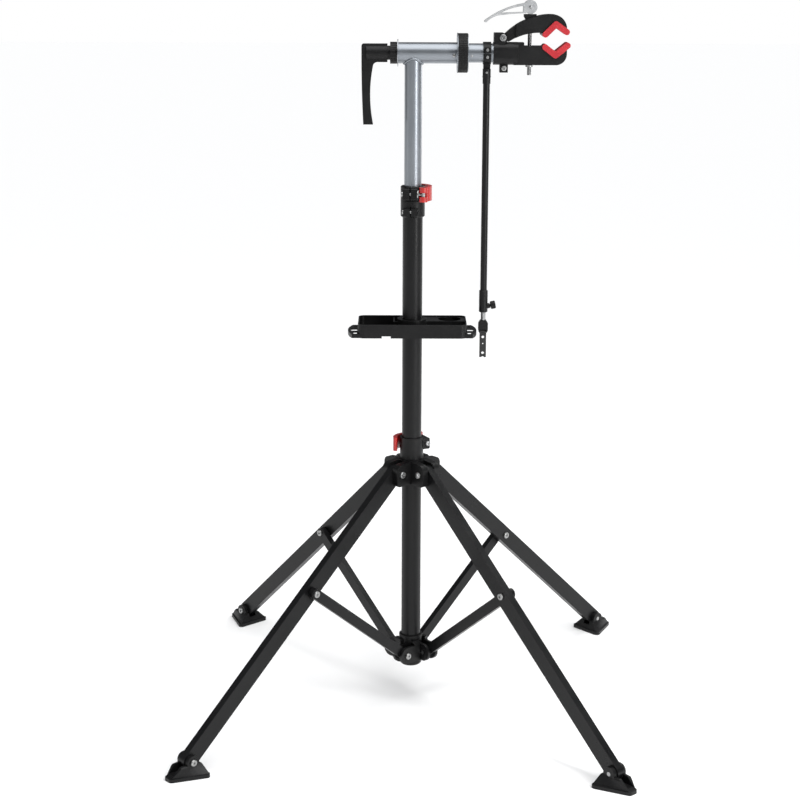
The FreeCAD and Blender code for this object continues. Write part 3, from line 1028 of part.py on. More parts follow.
def rod_knob():
    """Thumb screw with a ribbed round head."""
    centre, way = knob_frame()
    stem = Part.makeCylinder(3, 12, centre + way * (INNER_ROD_RADIUS + 1.2), way)
    start = centre + way * (SLEEVE_RADIUS + 5.5)
    head = Part.makeCylinder(KNOB_RADIUS, 10, start, way)
    rims = [e for e in head.Edges if isinstance(e.Curve, Part.Circle)]
    head = head.makeFillet(2.0, rims)
    side = way.cross(Y_AXIS)
    for number in range(12):
        cutter = Part.makeCylinder(1.0, 12, start - way + side * (KNOB_RADIUS + 0.3), way)
        cutter.rotate(centre, way, number * 30)
        head = head.cut(cutter)
    return joined(head, stem)


def rod_inner():
    return rod(INNER_ROD_RADIUS, (HOLDER_X, 0, CRADLE_TOP - 14), (0, 0, 1), INNER_ROD_TOP - CRADLE_TOP + 14)


def cradle_head():
    """Block on the inner rod that the strap hangs from."""
    left, right = HOLDER_X - CRADLE_HALF_LENGTH, HOLDER_X + CRADLE_HALF_LENGTH
    body = upright([
        (left + 2, CRADLE_BOTTOM), (right - 2, CRADLE_BOTTOM), (right, CRADLE_BOTTOM + 5),
        (right, CRADLE_TOP - 6), (HOLDER_X + 5.5, CRADLE_TOP), (HOLDER_X - 5.5, CRADLE_TOP),
        (left, CRADLE_TOP - 6), (left, CRADLE_BOTTOM + 5),
    ], -CRADLE_HALF_WIDTH, CRADLE_HALF_WIDTH)
    body = body.cut(rod(INNER_ROD_RADIUS + SEAT, (HOLDER_X, 0, CRADLE_TOP - 14), (0, 0, 1), 40))
    room = STRAP_HALF_LENGTH + 0.4
    pocket = block((HOLDER_X - room, HOLDER_X + room), (-CRADLE_HALF_WIDTH - 1, CRADLE_HALF_WIDTH + 1),
                   (CRADLE_BOTTOM - 1, CRADLE_BOTTOM + STRAP_EYE + 3.2))
    pin = rod(1.4, (left + 0.8, 0, CRADLE_BOTTOM + 2.5), (1, 0, 0), 2 * CRADLE_HALF_LENGTH - 1.6)
    return joined(body.cut(pocket), pin)


def cradle_strap():
    """Flat strap with holes that ties a handlebar to the rod."""
    pivot_z = CRADLE_BOTTOM + 2.5
    half = STRAP_THICKNESS / 2
    left, right = HOLDER_X - STRAP_HALF_LENGTH, HOLDER_X + STRAP_HALF_LENGTH
    body = upright([
        (left, pivot_z), (left, STRAP_BOTTOM), (HOLDER_X - 3, STRAP_BOTTOM),
        ((HOLDER_X, STRAP_BOTTOM + 1.6), (HOLDER_X + 3, STRAP_BOTTOM)),
        (right, STRAP_BOTTOM), (right, pivot_z),
    ], -half, half)
    eye = rod(STRAP_EYE, (left, 0, pivot_z), (1, 0, 0), 2 * STRAP_HALF_LENGTH)
    body = joined(body, eye)
    body = body.cut(rod(1.4 + RUNNING, (left - 1, 0, pivot_z), (1, 0, 0), 2 * STRAP_HALF_LENGTH + 2))
    for drop, radius in ((13, 2.6), (26, 1.3), (44, 2.6)):
        body = body.cut(rod(radius, (HOLDER_X, -10, CRADLE_BOTTOM - drop + 4), (0, 1, 0), 20))
    return body


# ---------------------------------------------------------------- build
def parts():
    """Every node by name."""
    nodes = {
        "mast_tube": mast_tube(),
        "mast_top_bush": mast_top_bush(),
        "base_hub": base_hub(),
        "strut_pivot_bolts": strut_pivot_bolts(),
        "lock_collar": lock_collar(),
        "lock_collar_bolts": lock_collar_bolts(),
        "lock_lever": turned(lock_lever(MAST_LOCK_HEIGHT), MAST_LOCK_TURN),
        "leg_hub": leg_hub(),
        "leg_hub_bolts": leg_hub_bolts(),
        "hub_lever": turned(lock_lever(HUB_LOCK_HEIGHT), HUB_LOCK_TURN),
        "tray": tray(),
        "tray_screw": tray_screw(),
        "tray_bush": tray_bush(),
        "post_tube": post_tube(),
        "post_end_plug": post_end_plug(),
        "tee_tube": tee_tube(),
        "fixed_index_disc": index_disc(DISC_LEFT, DISC_MIDDLE - DISC_GAP / 2),
        "turning_index_disc": index_disc(DISC_MIDDLE + DISC_GAP / 2, DISC_RIGHT),
        "handle_arm": handle_arm(),
        "handle_collar": handle_collar(),
        "draw_rod": draw_rod(),
        "clamp_shaft": clamp_shaft(),
        "lower_jaw": lower_jaw(),
        "lower_pad": lower_pad(),
        "lower_jaw_bolts": lower_jaw_bolts(),
        "stud_nut": stud_nut(),
        "upper_jaw": upper_jaw(),
        "upper_pad": upper_pad(),
        "clamp_stud": clamp_stud(),
        "stud_collar": stud_collar(),
        "cam_lever": cam_lever(),
        "holder_collar": holder_collar(),
        "holder_screws": holder_screws(),
        "rod_knuckle": rod_knuckle(),
        "rod_tube": rod_tube(),
        "rod_sleeve": rod_sleeve(),
        "rod_knob": rod_knob(),
        "rod_inner": rod_inner(),
        "cradle_head": cradle_head(),
        "cradle_strap": cradle_strap(),
    }
    makers = {"leg": leg, "leg_bolts": leg_bolts, "strut": strut, "strut_bolt": strut_bolt, "foot": foot}
    for kind, make in makers.items():
        shape = make()
        for corner, angle in LEG_NAMES.items():
            nodes[kind + "_" + corner] = turned(shape, angle + BASE_TURN)
    return nodes


os.makedirs("parts", exist_ok=True)
for name, shape in parts().items():
    shape.exportStep("parts/" + name + ".step")
    print(name, len(shape.Solids), round(shape.Volume), shape.isValid())
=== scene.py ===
import json
import math
import bmesh
import bpy
from mathutils import Matrix, Vector


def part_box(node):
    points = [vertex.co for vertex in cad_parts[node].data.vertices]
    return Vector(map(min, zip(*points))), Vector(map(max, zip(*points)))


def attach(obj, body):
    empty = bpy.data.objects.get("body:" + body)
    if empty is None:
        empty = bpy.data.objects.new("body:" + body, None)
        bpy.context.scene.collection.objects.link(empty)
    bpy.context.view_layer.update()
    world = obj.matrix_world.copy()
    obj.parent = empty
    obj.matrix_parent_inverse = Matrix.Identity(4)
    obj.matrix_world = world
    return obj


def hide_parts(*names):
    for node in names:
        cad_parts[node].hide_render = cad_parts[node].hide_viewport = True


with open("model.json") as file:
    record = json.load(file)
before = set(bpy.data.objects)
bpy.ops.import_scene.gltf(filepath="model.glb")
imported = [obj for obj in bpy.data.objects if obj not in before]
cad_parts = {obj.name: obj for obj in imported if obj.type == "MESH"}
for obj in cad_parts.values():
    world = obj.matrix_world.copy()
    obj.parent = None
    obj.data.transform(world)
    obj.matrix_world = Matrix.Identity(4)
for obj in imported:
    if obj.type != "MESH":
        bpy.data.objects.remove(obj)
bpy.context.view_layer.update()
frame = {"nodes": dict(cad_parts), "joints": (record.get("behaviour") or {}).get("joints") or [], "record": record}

# Folding bicycle work stand: finishes, lights and the small worked details that stand
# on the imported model.  Metres; MM turns millimetres into metres.
MM = 0.001
JOINTS = {joint["name"]: joint for joint in frame["joints"]}
CORNERS = ("front_left", "front_right", "back_right", "back_left")


# ------------------------------------------------------------------ places from the frame
def centre(node):
    """Middle of a CAD node's box."""
    low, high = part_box(node)
    return (low + high) / 2


def joint_place(name):
    """Point and direction of a hinge."""
    joint = JOINTS[name]
    return Vector(joint["pos_m"]), Vector(joint["axis"]).normalized()


HEAD_Z = centre("draw_rod").z
POST_RADIUS = (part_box("post_tube")[1].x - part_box("post_tube")[0].x) / 2
TEE_RADIUS = math.hypot(HEAD_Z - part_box("post_tube")[1].z, POST_RADIUS)
STUD_X = centre("clamp_stud").x


# ------------------------------------------------------------------ shader building blocks
def set_inputs(node, values):
    """Values of a node's unconnected inputs, by name."""
    for socket, value in values.items():
        node.inputs[socket].default_value = value


def add(tree, kind, settings=None, inputs=None):
    """New node with its settings and its unconnected inputs."""
    node = tree.nodes.new(kind)
    for key, value in (settings or {}).items():
        setattr(node, key, value)
    set_inputs(node, inputs or {})
    return node


def math_node(tree, operation, first, second=None, clamp=False):
    """Arithmetic on sockets or numbers; gives the result's socket."""
    node = add(tree, "ShaderNodeMath", {"operation": operation, "use_clamp": clamp})
    for index, value in enumerate((first, second)):
        if value is None:
            continue
        if isinstance(value, (int, float)):
            node.inputs[index].default_value = value
        else:
            tree.links.new(value, node.inputs[index])
    return node.outputs[0]


def new_group(name, inputs, outputs):
    """Empty node group with named sockets; inputs map names to (socket type, value)."""
    tree = bpy.data.node_groups.new(name, "ShaderNodeTree")
    for label, (kind, value) in inputs.items():
        socket = tree.interface.new_socket(label, in_out="INPUT", socket_type=kind)
        socket.default_value = value
    for label, kind in outputs.items():
        tree.interface.new_socket(label, in_out="OUTPUT", socket_type=kind)
    return tree, tree.nodes.new("NodeGroupInput"), tree.nodes.new("NodeGroupOutput")


FLOAT = "NodeSocketFloat"
VECTOR = "NodeSocketVector"


def noise(tree, coords, scale, detail=4.0, rough=0.55):
    """Noise texture on the given coordinates; scale is a number or a socket."""
    node = add(tree, "ShaderNodeTexNoise", inputs={"Detail": detail, "Roughness": rough})
    tree.links.new(coords, node.inputs["Vector"])
    if isinstance(scale, (int, float)):
        node.inputs["Scale"].default_value = scale
    else:
        tree.links.new(scale, node.inputs["Scale"])
    return node.outputs["Fac"]


def smooth_range(tree, value, low, high):
    """Smooth step that rises from 0 to 1 between low and high."""
    node = add(tree, "ShaderNodeMapRange", {"interpolation_type": "SMOOTHSTEP"},
               {"From Min": low, "From Max": high, "To Min": 0.0, "To Max": 1.0})
    tree.links.new(value, node.inputs["Value"])
    return node.outputs["Result"]


def make_edge_wear():
    """Mask that is 1 on broken, rubbed edges: where a rounded normal leaves the true one."""
    tree, start, end = new_group("Edge Wear", {
        "Width": (FLOAT, 0.001), "Amount": (FLOAT, 0.5), "Breakup Scale": (FLOAT, 140.0),
    }, {"Mask": FLOAT})
    coords = add(tree, "ShaderNodeTexCoord").outputs["Object"]
    rounded = add(tree, "ShaderNodeBevel", {"samples": 4})
    tree.links.new(start.outputs["Width"], rounded.inputs["Radius"])
    true_normal = add(tree, "ShaderNodeNewGeometry").outputs["Normal"]
    dot = add(tree, "ShaderNodeVectorMath", {"operation": "DOT_PRODUCT"})
    tree.links.new(rounded.outputs["Normal"], dot.inputs[0])
    tree.links.new(true_normal, dot.inputs[1])
    edge = smooth_range(tree, math_node(tree, "SUBTRACT", 1.0, dot.outputs["Value"]), 0.02, 0.22)
    patches = smooth_range(tree, noise(tree, coords, start.outputs["Breakup Scale"], 6.0, 0.65), 0.42, 0.62)
    worn = math_node(tree, "MULTIPLY", edge, patches)
    tree.links.new(math_node(tree, "MULTIPLY", worn, start.outputs["Amount"], True), end.inputs["Mask"])
    return tree


def make_dust():
    """Mask of fine dust that lies on surfaces facing up."""
    tree, start, end = new_group("Settled Dust", {
        "Amount": (FLOAT, 0.2), "Scale": (FLOAT, 60.0),
    }, {"Mask": FLOAT})
    coords = add(tree, "ShaderNodeTexCoord").outputs["Object"]
    split = add(tree, "ShaderNodeSeparateXYZ")
    tree.links.new(add(tree, "ShaderNodeNewGeometry").outputs["Normal"], split.inputs[0])
    facing = smooth_range(tree, split.outputs["Z"], 0.35, 0.95)
    cloud = smooth_range(tree, noise(tree, coords, start.outputs["Scale"], 8.0, 0.7), 0.35, 0.75)
    speck = smooth_range(tree, noise(tree, coords, 1400.0, 2.0), 0.45, 0.7)
    dusty = math_node(tree, "MULTIPLY", facing, math_node(tree, "MULTIPLY", cloud, speck))
    tree.links.new(math_node(tree, "MULTIPLY", dusty, start.outputs["Amount"], True), end.inputs["Mask"])
    return tree


def make_grain():
    """Surface relief: orange peel of a coating plus a fine moulded grain, and a slow mottle."""
    tree, start, end = new_group("Surface Grain", {
        "Peel Scale": (FLOAT, 420.0), "Grain Scale": (FLOAT, 1800.0), "Grain Share": (FLOAT, 0.5),
        "Mottle Scale": (FLOAT, 18.0),
    }, {"Height": FLOAT, "Mottle": FLOAT})
    coords = add(tree, "ShaderNodeTexCoord").outputs["Object"]
    peel = noise(tree, coords, start.outputs["Peel Scale"], 2.0, 0.4)
    cells = add(tree, "ShaderNodeTexVoronoi", {"feature": "SMOOTH_F1"}, {"Smoothness": 0.6})
    tree.links.new(coords, cells.inputs["Vector"])
    tree.links.new(start.outputs["Grain Scale"], cells.inputs["Scale"])
    mix = add(tree, "ShaderNodeMix")
    tree.links.new(start.outputs["Grain Share"], mix.inputs["Factor"])
    tree.links.new(peel, mix.inputs[2])
    tree.links.new(cells.outputs["Distance"], mix.inputs[3])
    tree.links.new(mix.outputs[0], end.inputs["Height"])
    mottle = smooth_range(tree, noise(tree, coords, start.outputs["Mottle Scale"], 5.0, 0.6), 0.3, 0.7)
    tree.links.new(mottle, end.inputs["Mottle"])
    return tree


def make_scratches():
    """Mask of fine straight scratches in two directions."""
    tree, start, end = new_group("Fine Scratches", {
        "Scale": (FLOAT, 30.0), "Amount": (FLOAT, 0.3), "Stretch": (VECTOR, (1.0, 1.0, 0.06)),
    }, {"Mask": FLOAT})
    coords = add(tree, "ShaderNodeTexCoord").outputs["Object"]
    total = None
    for turn in (0.15, -0.4):
        turned = add(tree, "ShaderNodeVectorRotate", inputs={"Angle": turn, "Axis": (0.3, 1.0, 0.1)})
        tree.links.new(coords, turned.inputs["Vector"])
        longer = add(tree, "ShaderNodeVectorMath", {"operation": "MULTIPLY"})
        tree.links.new(turned.outputs["Vector"], longer.inputs[0])
        tree.links.new(start.outputs["Stretch"], longer.inputs[1])
        fine_scale = math_node(tree, "MULTIPLY", start.outputs["Scale"], 24.0)
        lines = noise(tree, longer.outputs["Vector"], fine_scale, 3.0)
        where = noise(tree, coords, start.outputs["Scale"], 2.0)
        thin_lines = smooth_range(tree, lines, 0.66, 0.72)
        patches = smooth_range(tree, where, 0.5, 0.62)
        mask = math_node(tree, "MULTIPLY", thin_lines, patches)
        total = mask if total is None else math_node(tree, "MAXIMUM", total, mask)
    tree.links.new(math_node(tree, "MULTIPLY", total, start.outputs["Amount"], True), end.inputs["Mask"])
    return tree


GROUPS = {
    "wear": make_edge_wear(),
    "dust": make_dust(),
    "grain": make_grain(),
    "scratches": make_scratches(),
}


def place_group(tree, key, **values):
    """Puts a shared group in a material with its own values."""
    node = add(tree, "ShaderNodeGroup", {"node_tree": GROUPS[key]})
    set_inputs(node, {label.replace("_", " "): value for label, value in values.items()})
    return node


def mix_colour(tree, factor, first, second):
    """Mixes two colours; each is a socket or an RGB triple."""
    node = add(tree, "ShaderNodeMix", {"data_type": "RGBA"})
    tree.links.new(factor, node.inputs["Factor"])
    for index, value in ((6, first), (7, second)):
        if isinstance(value, tuple):
            node.inputs[index].default_value = (*value, 1.0)
        else:
            tree.links.new(value, node.inputs[index])
    return node.outputs[2]


DUST_COLOUR = (0.42, 0.41, 0.39)


def finish(name, base, second, rough, bump, grain, worn, metallic=0.0, coat=0.0, specular=0.5,
           wear=0.5, wear_width=0.0008, dust=0.15, scratches=0.25, stretch=(1.0, 1.0, 0.06)):
    """Worked surface: mottled colour, rubbed edges, fine scratches, settled dust and relief."""
    material = bpy.data.materials.new(name)
    material.use_nodes = True
    tree = material.node_tree
    shader = tree.nodes["Principled BSDF"]
    set_inputs(shader, {"Metallic": metallic, "Coat Weight": coat, "Coat Roughness": 0.12,
                        "Specular IOR Level": specular})
    relief = place_group(tree, "grain", **grain)
    edges = place_group(tree, "wear", Width=wear_width, Amount=wear)
    film = place_group(tree, "dust", Amount=dust)
    marks = place_group(tree, "scratches", Amount=scratches, Stretch=stretch)
    colour = mix_colour(tree, relief.outputs["Mottle"], base, second)
    rubbed = math_node(tree, "MAXIMUM", edges.outputs["Mask"], marks.outputs["Mask"])
    colour = mix_colour(tree, rubbed, colour, worn)
    colour = mix_colour(tree, film.outputs["Mask"], colour, DUST_COLOUR)
    tree.links.new(colour, shader.inputs["Base Color"])
    spread = add(tree, "ShaderNodeMapRange", inputs={"To Min": rough[0], "To Max": rough[1]})
    tree.links.new(relief.outputs["Mottle"], spread.inputs["Value"])
    duller = math_node(tree, "ADD", spread.outputs["Result"],
                       math_node(tree, "MULTIPLY", film.outputs["Mask"], 0.5), True)
    tree.links.new(duller, shader.inputs["Roughness"])
    height = math_node(tree, "SUBTRACT", relief.outputs["Height"], math_node(tree, "MULTIPLY", rubbed, 0.3))
    bumped = add(tree, "ShaderNodeBump", inputs={"Strength": bump, "Distance": 0.0003})
    tree.links.new(height, bumped.inputs["Height"])
    tree.links.new(bumped.outputs["Normal"], shader.inputs["Normal"])
    return material


COATING = {"Peel_Scale": 520.0, "Grain_Scale": 2400.0, "Grain_Share": 0.35, "Mottle_Scale": 14.0}
SATIN = {"Peel_Scale": 300.0, "Grain_Scale": 3200.0, "Grain_Share": 0.25, "Mottle_Scale": 9.0}
MOULDED = {"Peel_Scale": 700.0, "Grain_Scale": 1500.0, "Grain_Share": 0.75, "Mottle_Scale": 26.0}
SOFT = {"Peel_Scale": 900.0, "Grain_Scale": 1100.0, "Grain_Share": 0.6, "Mottle_Scale": 40.0}
ROLLED = {"Peel_Scale": 1500.0, "Grain_Scale": 3600.0, "Grain_Share": 0.3, "Mottle_Scale": 70.0}

FINISHES = {
    "black_paint": finish(
        "black powder coat", (0.0036, 0.0037, 0.0041), (0.0056, 0.0056, 0.006), (0.27, 0.37), 0.30,
        COATING, (0.06, 0.06, 0.063), specular=0.26, wear=0.35, dust=0.025, scratches=0.10),
    "silver_paint": finish(
        "silver satin paint", (0.25, 0.27, 0.295), (0.28, 0.30, 0.325), (0.32, 0.38), 0.04,
        SATIN, (0.50, 0.51, 0.52), metallic=0.85, coat=0.15, wear=0.25, dust=0.03, scratches=0.10),
    "black_plastic": finish(
        "black moulded nylon", (0.0038, 0.0038, 0.004), (0.006, 0.006, 0.0063), (0.34, 0.46), 0.45,
        MOULDED, (0.05, 0.05, 0.053), specular=0.27, wear=0.4, dust=0.03, scratches=0.08),
    "red_plastic": finish(
        "red moulded nylon", (0.40, 0.008, 0.008), (0.47, 0.013, 0.010), (0.24, 0.34), 0.15,
        SATIN, (0.85, 0.16, 0.10), coat=0.25, wear=0.5, dust=0.05),
    "red_rubber": finish(
        "red rubber pad", (0.42, 0.010, 0.018), (0.50, 0.016, 0.024), (0.42, 0.58), 0.45,
        SOFT, (0.82, 0.10, 0.10), wear=0.35, dust=0.10, scratches=0.1),
    "black_rubber": finish(
        "black rubber strap", (0.011, 0.011, 0.011), (0.018, 0.018, 0.018), (0.55, 0.7), 0.5,
        SOFT, (0.05, 0.05, 0.05), wear=0.3, dust=0.18, scratches=0.1),
    "zinc_steel": finish(
        "zinc plated steel", (0.33, 0.335, 0.34), (0.42, 0.42, 0.41), (0.28, 0.40), 0.22,
        ROLLED, (0.75, 0.75, 0.74), metallic=1.0, wear=0.5, wear_width=0.0005, dust=0.08,
        stretch=(0.2, 1.0, 1.0)),
    "grey_aluminium": finish(
        "dull cast aluminium", (0.42, 0.43, 0.44), (0.50, 0.505, 0.51), (0.42, 0.55), 0.5,
        SOFT, (0.66, 0.66, 0.66), metallic=0.6, wear=0.55, dust=0.08),
}


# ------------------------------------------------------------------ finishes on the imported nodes
EDGE_ROUND = {"black_paint": 0.0, "silver_paint": 0.0, "black_plastic": 0.7 * MM, "red_plastic": 1.4 * MM,
              "red_rubber": 1.6 * MM, "black_rubber": 0.4 * MM, "zinc_steel": 0.0, "grey_aluminium": 0.8 * MM}
SLOT_OF = {part["node"]: part["material_slot"] for part in frame["record"]["subparts"]}


def soften(piece, width):
    """Rounds a piece's sharp edges and shades it smooth between them."""
    if width > 0:
        bevel = piece.modifiers.new("rounded edges", "BEVEL")
        bevel.width = width
        bevel.segments = 3
        bevel.limit_method = "ANGLE"
        bevel.angle_limit = math.radians(35)
        bevel.harden_normals = False
        bevel.use_clamp_overlap = True
    for face in piece.data.polygons:
        face.use_smooth = True
    sharp = piece.modifiers.new("crisp corners", "WEIGHTED_NORMAL")
    sharp.keep_sharp = True
    sharp.weight = 80


for node_name, slot_name in SLOT_OF.items():
    node = frame["nodes"][node_name]
    node.data.materials.clear()
    node.data.materials.append(FINISHES[slot_name])
    soften(node, EDGE_ROUND[slot_name])


# ------------------------------------------------------------------ mesh building
def make_piece(name, mesh_maker, body, slot_name, replaces=()):
    """Mesh piece that rides on a body and takes its finish from a material slot."""
    mesh = bpy.data.meshes.new(name)
    work = bmesh.new()
    mesh_maker(work)
    bmesh.ops.remove_doubles(work, verts=work.verts, dist=0.00001)
    bmesh.ops.recalc_face_normals(work, faces=work.faces)
    work.to_mesh(mesh)
    work.free()
    piece = bpy.data.objects.new(name, mesh)
    bpy.context.scene.collection.objects.link(piece)
    mesh.materials.append(FINISHES[slot_name])
    for face in mesh.polygons:
        face.use_smooth = True
    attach(piece, body)
    if replaces:
        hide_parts(*replaces)


def basis(direction):
    """Two directions square to the given one."""
    way = Vector(direction).normalized()
    side = way.orthogonal().normalized()
    return way, side, way.cross(side)


def skin(work, rows, closed=False):
    """Faces between equal rings of points; the ends are capped unless the rings close."""
    rings = [[work.verts.new(point) for point in row] for row in rows]
    pairs = list(zip(rings, rings[1:]))
    if closed:
        pairs.append((rings[-1], rings[0]))
    for near, far in pairs:
        count = len(near)
        for index in range(count):
            after = (index + 1) % count
            work.faces.new((near[index], near[after], far[after], far[index]))
    if not closed:
        work.faces.new(list(reversed(rings[0])))
        work.faces.new(rings[-1])


def lathe(work, start, direction, profile, sides=40):
    """Turned solid: profile holds (distance along, radius) pairs."""
    way, side, up = basis(direction)
    rows = []
    for along, radius in profile:
        middle = Vector(start) + way * along
        rows.append([middle + (side * math.cos(a) + up * math.sin(a)) * radius
                     for a in (2 * math.pi * k / sides for k in range(sides))])
    skin(work, rows)


BEAD_RADIUS = 2.6 * MM
BEAD_RIPPLE = 0.25 * MM
BEAD_RIPPLES = 46
BEAD_GAP = 0.4 * MM


def weld_bead(work):
    """Rippled weld where the post meets the cross tube."""
    rows = []
    steps, sides = 180, 10
    seat = POST_RADIUS + BEAD_GAP
    for step in range(steps):
        angle = 2 * math.pi * step / steps
        x, y = seat * math.cos(angle), seat * math.sin(angle)
        z = HEAD_Z - math.sqrt(TEE_RADIUS ** 2 - y ** 2)
        outward = Vector((math.cos(angle), math.sin(angle), 0))
        size = BEAD_RADIUS + BEAD_RIPPLE * math.sin(angle * BEAD_RIPPLES)
        rows.append([Vector((x, y, z)) + outward * size * math.cos(a) + Vector((0, 0, size * math.sin(a)))
                     for a in (2 * math.pi * k / sides for k in range(sides))])
    skin(work, rows, closed=True)


make_piece("post_weld", weld_bead, "post", "silver_paint")


# ------------------------------------------------------------------ threads, screws and nuts
THREAD_RADIUS = 4.0 * MM
THREAD_PITCH = 1.25 * MM
THREAD_DEPTH = 0.55 * MM
THREAD_END_CHAMFER = 0.3 * MM
NECK_RADIUS = 3.9 * MM
NECK_LENGTH = 23 * MM
NECK_OVERLAP = 1 * MM
EYE_RADIUS = 5 * MM
EYE_WIDTH = 9.2 * MM
EYE_CHAMFER = 0.4 * MM
PIN_RADIUS = 3 * MM
PIN_CHAMFER_ALONG, PIN_CHAMFER_IN = 0.5 * MM, 0.6 * MM


def threaded_rod(work, low, high, radius, pitch, depth):
    """Upright rod with a helical thread that runs out at both ends, centred on the clamp stud."""
    sides, per_turn = 32, 8
    steps = round((high - low) / pitch * per_turn)
    rows = []
    for step in range(steps + 1):
        z = low + (high - low) * step / steps
        taper = min(1.0, step / per_turn, (steps - step) / per_turn)
        row = []
        for k in range(sides):
            angle = 2 * math.pi * k / sides
            phase = ((z - low) / pitch - k / sides) % 1.0
            groove = depth * abs(2 * phase - 1) + THREAD_END_CHAMFER * (1 - taper)
            reach = radius - groove
            row.append(Vector((STUD_X + reach * math.cos(angle), reach * math.sin(angle), z)))
        rows.append(row)
    skin(work, rows)


def chamfered_bar(length, radius, along, inwards):
    """Turned profile of a round bar with both ends chamfered."""
    small = radius - inwards
    return [(0, small), (along, radius), (length - along, radius), (length, small)]


def clamp_stud(work):
    """Threaded stud with a smooth neck, an eye and the cam's cross pin."""
    low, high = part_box("clamp_stud")
    eye_z = JOINTS["cam_open"]["pos_m"][2]
    half_pin = high.y
    neck = eye_z - NECK_LENGTH - NECK_OVERLAP
    threaded_rod(work, low.z, neck, THREAD_RADIUS, THREAD_PITCH, THREAD_DEPTH)
    lathe(work, (STUD_X, 0, neck - NECK_OVERLAP), (0, 0, 1), [(0, NECK_RADIUS), (NECK_LENGTH, NECK_RADIUS)])
    lathe(work, (STUD_X, -EYE_WIDTH / 2, eye_z), (0, 1, 0),
          chamfered_bar(EYE_WIDTH, EYE_RADIUS, EYE_CHAMFER, EYE_CHAMFER))
    lathe(work, (STUD_X, -half_pin, eye_z), (0, 1, 0),
          chamfered_bar(2 * half_pin, PIN_RADIUS, PIN_CHAMFER_ALONG, PIN_CHAMFER_IN))


make_piece("threaded_clamp_stud", clamp_stud, "stud", "zinc_steel", ["clamp_stud"])


SOCKET_OUTER = 2.75 * MM
SOCKET_ACROSS = 3.9 * MM
SOCKET_DEPTH = 1.7 * MM
SOCKET_SUNK = 0.2 * MM
SOCKET_LIP = 0.35 * MM
SOCKET_LIP_FALL = 0.3 * MM
NUT_ACROSS = 12 * MM
NUT_HEIGHT = 3.6 * MM
NUT_SEAT = 2 * MM
BOLT_END = 1.1 * MM
BOLT_END_CHAMFER = 0.5 * MM
BOLT_NEIGHBOURHOOD = 9 * MM


def hex_recess(work, face, outward, across, depth, outer):
    """Ring with a hexagonal socket, let into a round recess in a bolt head."""
    way, side, up = basis(outward)
    sides = 36
    rows = []
    levels = ((-depth, "hex"), (-SOCKET_LIP_FALL, "hex"), (0, "lip"), (-SOCKET_LIP, "rim"), (-depth, "rim"))
    for level, kind in levels:
        row = []
        for k in range(sides):
            angle = 2 * math.pi * k / sides
            wedge = (angle % (math.pi / 3)) - math.pi / 6
            flat = across / 2 / math.cos(wedge)
            reach = {"hex": flat, "lip": flat + SOCKET_LIP, "rim": outer}[kind]
            row.append(Vector(face) + way * level + (side * math.cos(angle) + up * math.sin(angle)) * reach)
        rows.append(row)
    skin(work, rows, closed=True)


def hex_nut(work, face, outward, across, height):
    """Hexagonal nut with chamfered corners and a bolt end in its middle."""
    corner = across / math.sqrt(3)
    lathe(work, face, outward, [(0, corner), (height * 0.82, corner), (height, corner * 0.86)], sides=6)
    bolt_radius = across * 0.29
    straight = height + BOLT_END
    bolt_end = [(0, bolt_radius), (straight, bolt_radius), (straight + BOLT_END_CHAMFER, across * 0.24)]
    lathe(work, face, outward, bolt_end, sides=24)


def reach_along(node, point, direction):
    """Least and most reach of a bolt along a direction; other bolts of the node lie farther off."""
    spans = [(v.co - point).dot(direction) for v in frame["nodes"][node].data.vertices
             if ((v.co - point) - direction * (v.co - point).dot(direction)).length < BOLT_NEIGHBOURHOOD]
    return min(spans), max(spans)


def put_socket(name, head, outward, body):
    """Hex socket sunk in a bolt head."""
    make_piece(name, lambda work: hex_recess(work, head, outward, SOCKET_ACROSS, SOCKET_DEPTH, SOCKET_OUTER),
               body, "zinc_steel")


for corner_name in CORNERS:
    pivots = (
        ("hub_leg_bolt", "leg_hinge_", "leg_hub_bolts", "leg_slider"),
        ("base_strut_bolt", "strut_hinge_", "strut_pivot_bolts", "mast"),
        ("foot_bolt", "foot_hinge_", "leg_bolts_" + corner_name, "leg_" + corner_name),
    )
    for label, joint_start, bolt_node, body in pivots:
        point = joint_place(joint_start + corner_name)[0]
        tangent = joint_place("leg_hinge_" + corner_name)[1]
        least, most = reach_along(bolt_node, point, tangent)
        put_socket(f"{label}_socket_{corner_name}", point + tangent * (most - SOCKET_SUNK), tangent, body)
        if label == "hub_leg_bolt":
            seat = point + tangent * (least + NUT_SEAT)
            make_piece(f"{label}_nut_{corner_name}",
                       lambda work: hex_nut(work, seat, -tangent, NUT_ACROSS, NUT_HEIGHT), body, "zinc_steel")
    strut_bolt = centre("strut_bolt_" + corner_name)
    most = reach_along("strut_bolt_" + corner_name, strut_bolt, tangent)[1]
    put_socket(f"strut_bolt_socket_{corner_name}", strut_bolt + tangent * (most - SOCKET_SUNK), tangent,
               "strut_" + corner_name)


FRONT = (0, -1, 0)
JAW_PIVOT = joint_place("jaw_open")[0]
JAW_PIVOT_HEAD = Vector((JAW_PIVOT.x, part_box("lower_jaw_bolts")[0].y + SOCKET_SUNK, JAW_PIVOT.z))
put_socket("jaw_pivot_socket", JAW_PIVOT_HEAD, FRONT, "clamp")


def round_screw(work, place, outward, radius, height, neck):
    """Domed screw head with a small round recess, on a short neck."""
    profile = [(-neck, radius * 0.55), (0, radius * 0.55), (0, radius), (height * 0.35, radius)]
    profile += [(height * (0.35 + 0.65 * math.sin(a)), radius * math.cos(a))
                for a in (math.pi / 2 * k / 6 for k in range(1, 6))]
    profile += [(height * 0.98, radius * 0.22), (height * 0.6, radius * 0.2)]
    lathe(work, place, outward, profile, sides=28)


